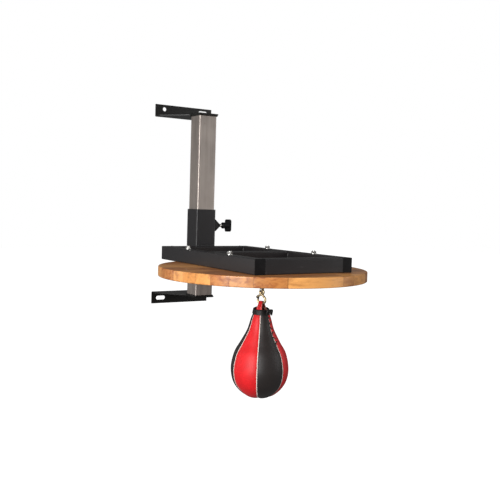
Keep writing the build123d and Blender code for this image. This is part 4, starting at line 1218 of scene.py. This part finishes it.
def build_lacing(sizes):
    """The flat black lace across its seam, and the knot at the collar where it is tied off."""
    skin = BagSkin(sizes)
    points, normals = lace_points(skin, sizes)
    path = smooth_path(points, 7)
    facing = smooth_path(normals, 7)
    make_piece(
        "seam_lace",
        cord(path, sizes.lace_width, sizes.lace_thickness, facing, sides=10),
        "speed_bag",
        "lace_cord",
        "lace",
        replaces=("bag_lace",),
        sharp=80,
    )
    make_piece(
        "tied_knot", knot_shape(sizes), "speed_bag", "lace_cord", "lace", replaces=("lace_knot",), sharp=80
    )


# ---- studio ----
def aim(thing, place, target):
    """Puts a light or camera at a place, turned to a target."""
    thing.location = place
    thing.rotation_euler = (Vector(target) - Vector(place)).to_track_quat("-Z", "Y").to_euler()


def softbox(name, place, size, power, target):
    lamp = bpy.data.lights.new(name, "AREA")
    lamp.shape = "RECTANGLE"
    lamp.size, lamp.size_y = size
    lamp.energy = power
    light = bpy.data.objects.new(name, lamp)
    bpy.context.scene.collection.objects.link(light)
    aim(light, place, target)


def build_camera():
    """A camera in front, to the left of the platform and a little above it, rolled very slightly."""
    level = cos(CAMERA_ELEVATION)
    back = Vector((sin(CAMERA_AZIMUTH) * level, -cos(CAMERA_AZIMUTH) * level, sin(CAMERA_ELEVATION)))
    right = Vector((cos(CAMERA_AZIMUTH), sin(CAMERA_AZIMUTH), 0))
    up = back.cross(right)
    camera_x = right * cos(CAMERA_ROLL) + up * sin(CAMERA_ROLL)
    camera_y = -right * sin(CAMERA_ROLL) + up * cos(CAMERA_ROLL)
    data = bpy.data.cameras.new("studio_camera")
    data.lens = CAMERA_LENS
    data.sensor_width = 36
    data.clip_end = 100
    camera = bpy.data.objects.new("studio_camera", data)
    bpy.context.scene.collection.objects.link(camera)
    turn = Matrix((camera_x, camera_y, back)).transposed()
    camera.matrix_world = Matrix.Translation(CAMERA_PLACE) @ turn.to_4x4()
    bpy.context.scene.camera = camera


def build_world():
    """White for the camera, and a dimmer room for what lights and shows in the object."""
    world = bpy.data.worlds.new("studio_room")
    world.use_nodes = True
    bpy.context.scene.world = world
    tree = world.node_tree
    tree.nodes.clear()
    output = tree.nodes.new("ShaderNodeOutputWorld")
    choice = tree.nodes.new("ShaderNodeMixShader")
    rays = tree.nodes.new("ShaderNodeLightPath")
    room = tree.nodes.new("ShaderNodeBackground")
    seen = tree.nodes.new("ShaderNodeBackground")
    room.inputs["Color"].default_value = (1, 1, 1, 1)
    room.inputs["Strength"].default_value = ROOM_STRENGTH
    seen.inputs["Color"].default_value = (1, 1, 1, 1)
    seen.inputs["Strength"].default_value = 1.0
    tree.links.new(rays.outputs["Is Camera Ray"], choice.inputs[0])
    tree.links.new(room.outputs[0], choice.inputs[1])
    tree.links.new(seen.outputs[0], choice.inputs[2])
    tree.links.new(choice.outputs[0], output.inputs[0])


def build_floor():
    """A pale floor, as far below the bag as where such a bag hangs."""
    height = CAD_BOX[0][2] - FLOOR_DROP
    signs = ((-1, -1), (1, -1), (1, 1), (-1, 1))
    corners = [(x * FLOOR_HALF_SIDE, y * FLOOR_HALF_SIDE, height) for x, y in signs]
    mesh = bpy.data.meshes.new("studio_floor")
    mesh.from_pydata(corners, [], [(0, 1, 2, 3)])
    mesh.materials.append(finish_of("floor"))
    floor = bpy.data.objects.new("studio_floor", mesh)
    floor.visible_diffuse = False
    floor.visible_glossy = False
    bpy.context.scene.collection.objects.link(floor)


def build_studio():
    """Floor, room, softboxes and camera."""
    middle = (Vector(CAD_BOX[0]) + Vector(CAD_BOX[1])) / 2
    build_floor()
    build_world()
    for name, place, size, power in SOFTBOXES:
        softbox(name, place, size, power, middle)
    build_camera()
    bpy.context.scene.view_settings.view_transform = "Standard"


# ---- operators ----
class BuildPost(bpy.types.Operator):
    """Finish the post and wall brackets and lay their weld beads"""

    bl_idname = "speed_bag.post"
    bl_label = "Post and brackets"

    def execute(self, context):
        build_post(context.scene.speed_bag_sizes)
        return {"FINISHED"}


class BuildFrame(bpy.types.Operator):
    """Finish the sleeve, rails and plugs and lay the frame's weld beads"""

    bl_idname = "speed_bag.frame"
    bl_label = "Sliding frame"

    def execute(self, context):
        build_frame(context.scene.speed_bag_sizes)
        return {"FINISHED"}


class BuildClamp(bpy.types.Operator):
    """Finish the height clamp and cut its screw's thread"""

    bl_idname = "speed_bag.clamp"
    bl_label = "Height clamp"

    def execute(self, context):
        build_clamp(context.scene.speed_bag_sizes)
        return {"FINISHED"}


class BuildBoard(bpy.types.Operator):
    """Give the board its glued staves and varnish"""

    bl_idname = "speed_bag.board"
    bl_label = "Board"

    def execute(self, context):
        build_board()
        return {"FINISHED"}


class BuildFasteners(bpy.types.Operator):
    """Make the chamfered nuts and finish the bolts and washers"""

    bl_idname = "speed_bag.fasteners"
    bl_label = "Nuts and bolts"

    def execute(self, context):
        build_fasteners(context.scene.speed_bag_sizes)
        return {"FINISHED"}


class BuildSwivel(bpy.types.Operator):
    """Finish the ball-bearing swivel"""

    bl_idname = "speed_bag.swivel"
    bl_label = "Swivel"

    def execute(self, context):
        build_swivel()
        return {"FINISHED"}


class BuildHook(bpy.types.Operator):
    """Finish the snap hook and its gate"""

    bl_idname = "speed_bag.hook"
    bl_label = "Snap hook"

    def execute(self, context):
        build_hook()
        return {"FINISHED"}


class BuildPanels(bpy.types.Operator):
    """Sew the six blown-up leather panels"""

    bl_idname = "speed_bag.panels"
    bl_label = "Leather panels"

    def execute(self, context):
        build_panels(context.scene.speed_bag_sizes)
        return {"FINISHED"}


class BuildPiping(bpy.types.Operator):
    """Lay piping in the six seams"""

    bl_idname = "speed_bag.piping"
    bl_label = "Piping"

    def execute(self, context):
        build_piping(context.scene.speed_bag_sizes)
        return {"FINISHED"}


class BuildBladder(bpy.types.Operator):
    """Mould the bladder and its valve"""

    bl_idname = "speed_bag.bladder"
    bl_label = "Bladder"

    def execute(self, context):
        build_bladder(context.scene.speed_bag_sizes)
        return {"FINISHED"}


class BuildNeck(bpy.types.Operator):
    """Make the neck's disc and collar"""

    bl_idname = "speed_bag.neck"
    bl_label = "Neck and collar"

    def execute(self, context):
        build_neck(context.scene.speed_bag_sizes)
        return {"FINISHED"}


class BuildStrap(bpy.types.Operator):
    """Make the strap that hangs on the hook"""

    bl_idname = "speed_bag.strap"
    bl_label = "Strap"

    def execute(self, context):
        build_strap(context.scene.speed_bag_sizes)
        return {"FINISHED"}


class BuildLacing(bpy.types.Operator):
    """Lace the upper part of one seam and tie the lace off"""

    bl_idname = "speed_bag.lacing"
    bl_label = "Lacing"

    def execute(self, context):
        build_lacing(context.scene.speed_bag_sizes)
        return {"FINISHED"}


class BuildStudio(bpy.types.Operator):
    """Set up the floor, lights, room and camera"""

    bl_idname = "speed_bag.studio"
    bl_label = "Studio"

    def execute(self, context):
        build_studio()
        return {"FINISHED"}


STEPS = (
    BuildPost,
    BuildFrame,
    BuildClamp,
    BuildBoard,
    BuildFasteners,
    BuildSwivel,
    BuildHook,
    BuildPanels,
    BuildPiping,
    BuildBladder,
    BuildNeck,
    BuildStrap,
    BuildLacing,
    BuildStudio,
)


class SpeedBagPanel(bpy.types.Panel):
    """Lists the steps in the order they are run"""

    bl_idname = "VIEW3D_PT_speed_bag"
    bl_label = "Speed bag platform"
    bl_space_type = "VIEW_3D"
    bl_region_type = "UI"
    bl_category = "Speed bag"

    def draw(self, context):
        for step in STEPS:
            self.layout.operator(step.bl_idname)


CLASSES = (SpeedBagSizes, SpeedBagColours, *STEPS, SpeedBagPanel)


def register():
    for each in CLASSES:
        bpy.utils.register_class(each)
    bpy.types.Scene.speed_bag_sizes = PointerProperty(type=SpeedBagSizes)
    bpy.types.Scene.speed_bag_colours = PointerProperty(type=SpeedBagColours)


def unregister():
    del bpy.types.Scene.speed_bag_colours
    del bpy.types.Scene.speed_bag_sizes
    for each in reversed(CLASSES):
        bpy.utils.unregister_class(each)


def main():
    register()
    for step in STEPS:
        getattr(bpy.ops.speed_bag, step.bl_idname.split(".")[1])()


if __name__ == "__main__":
    main()
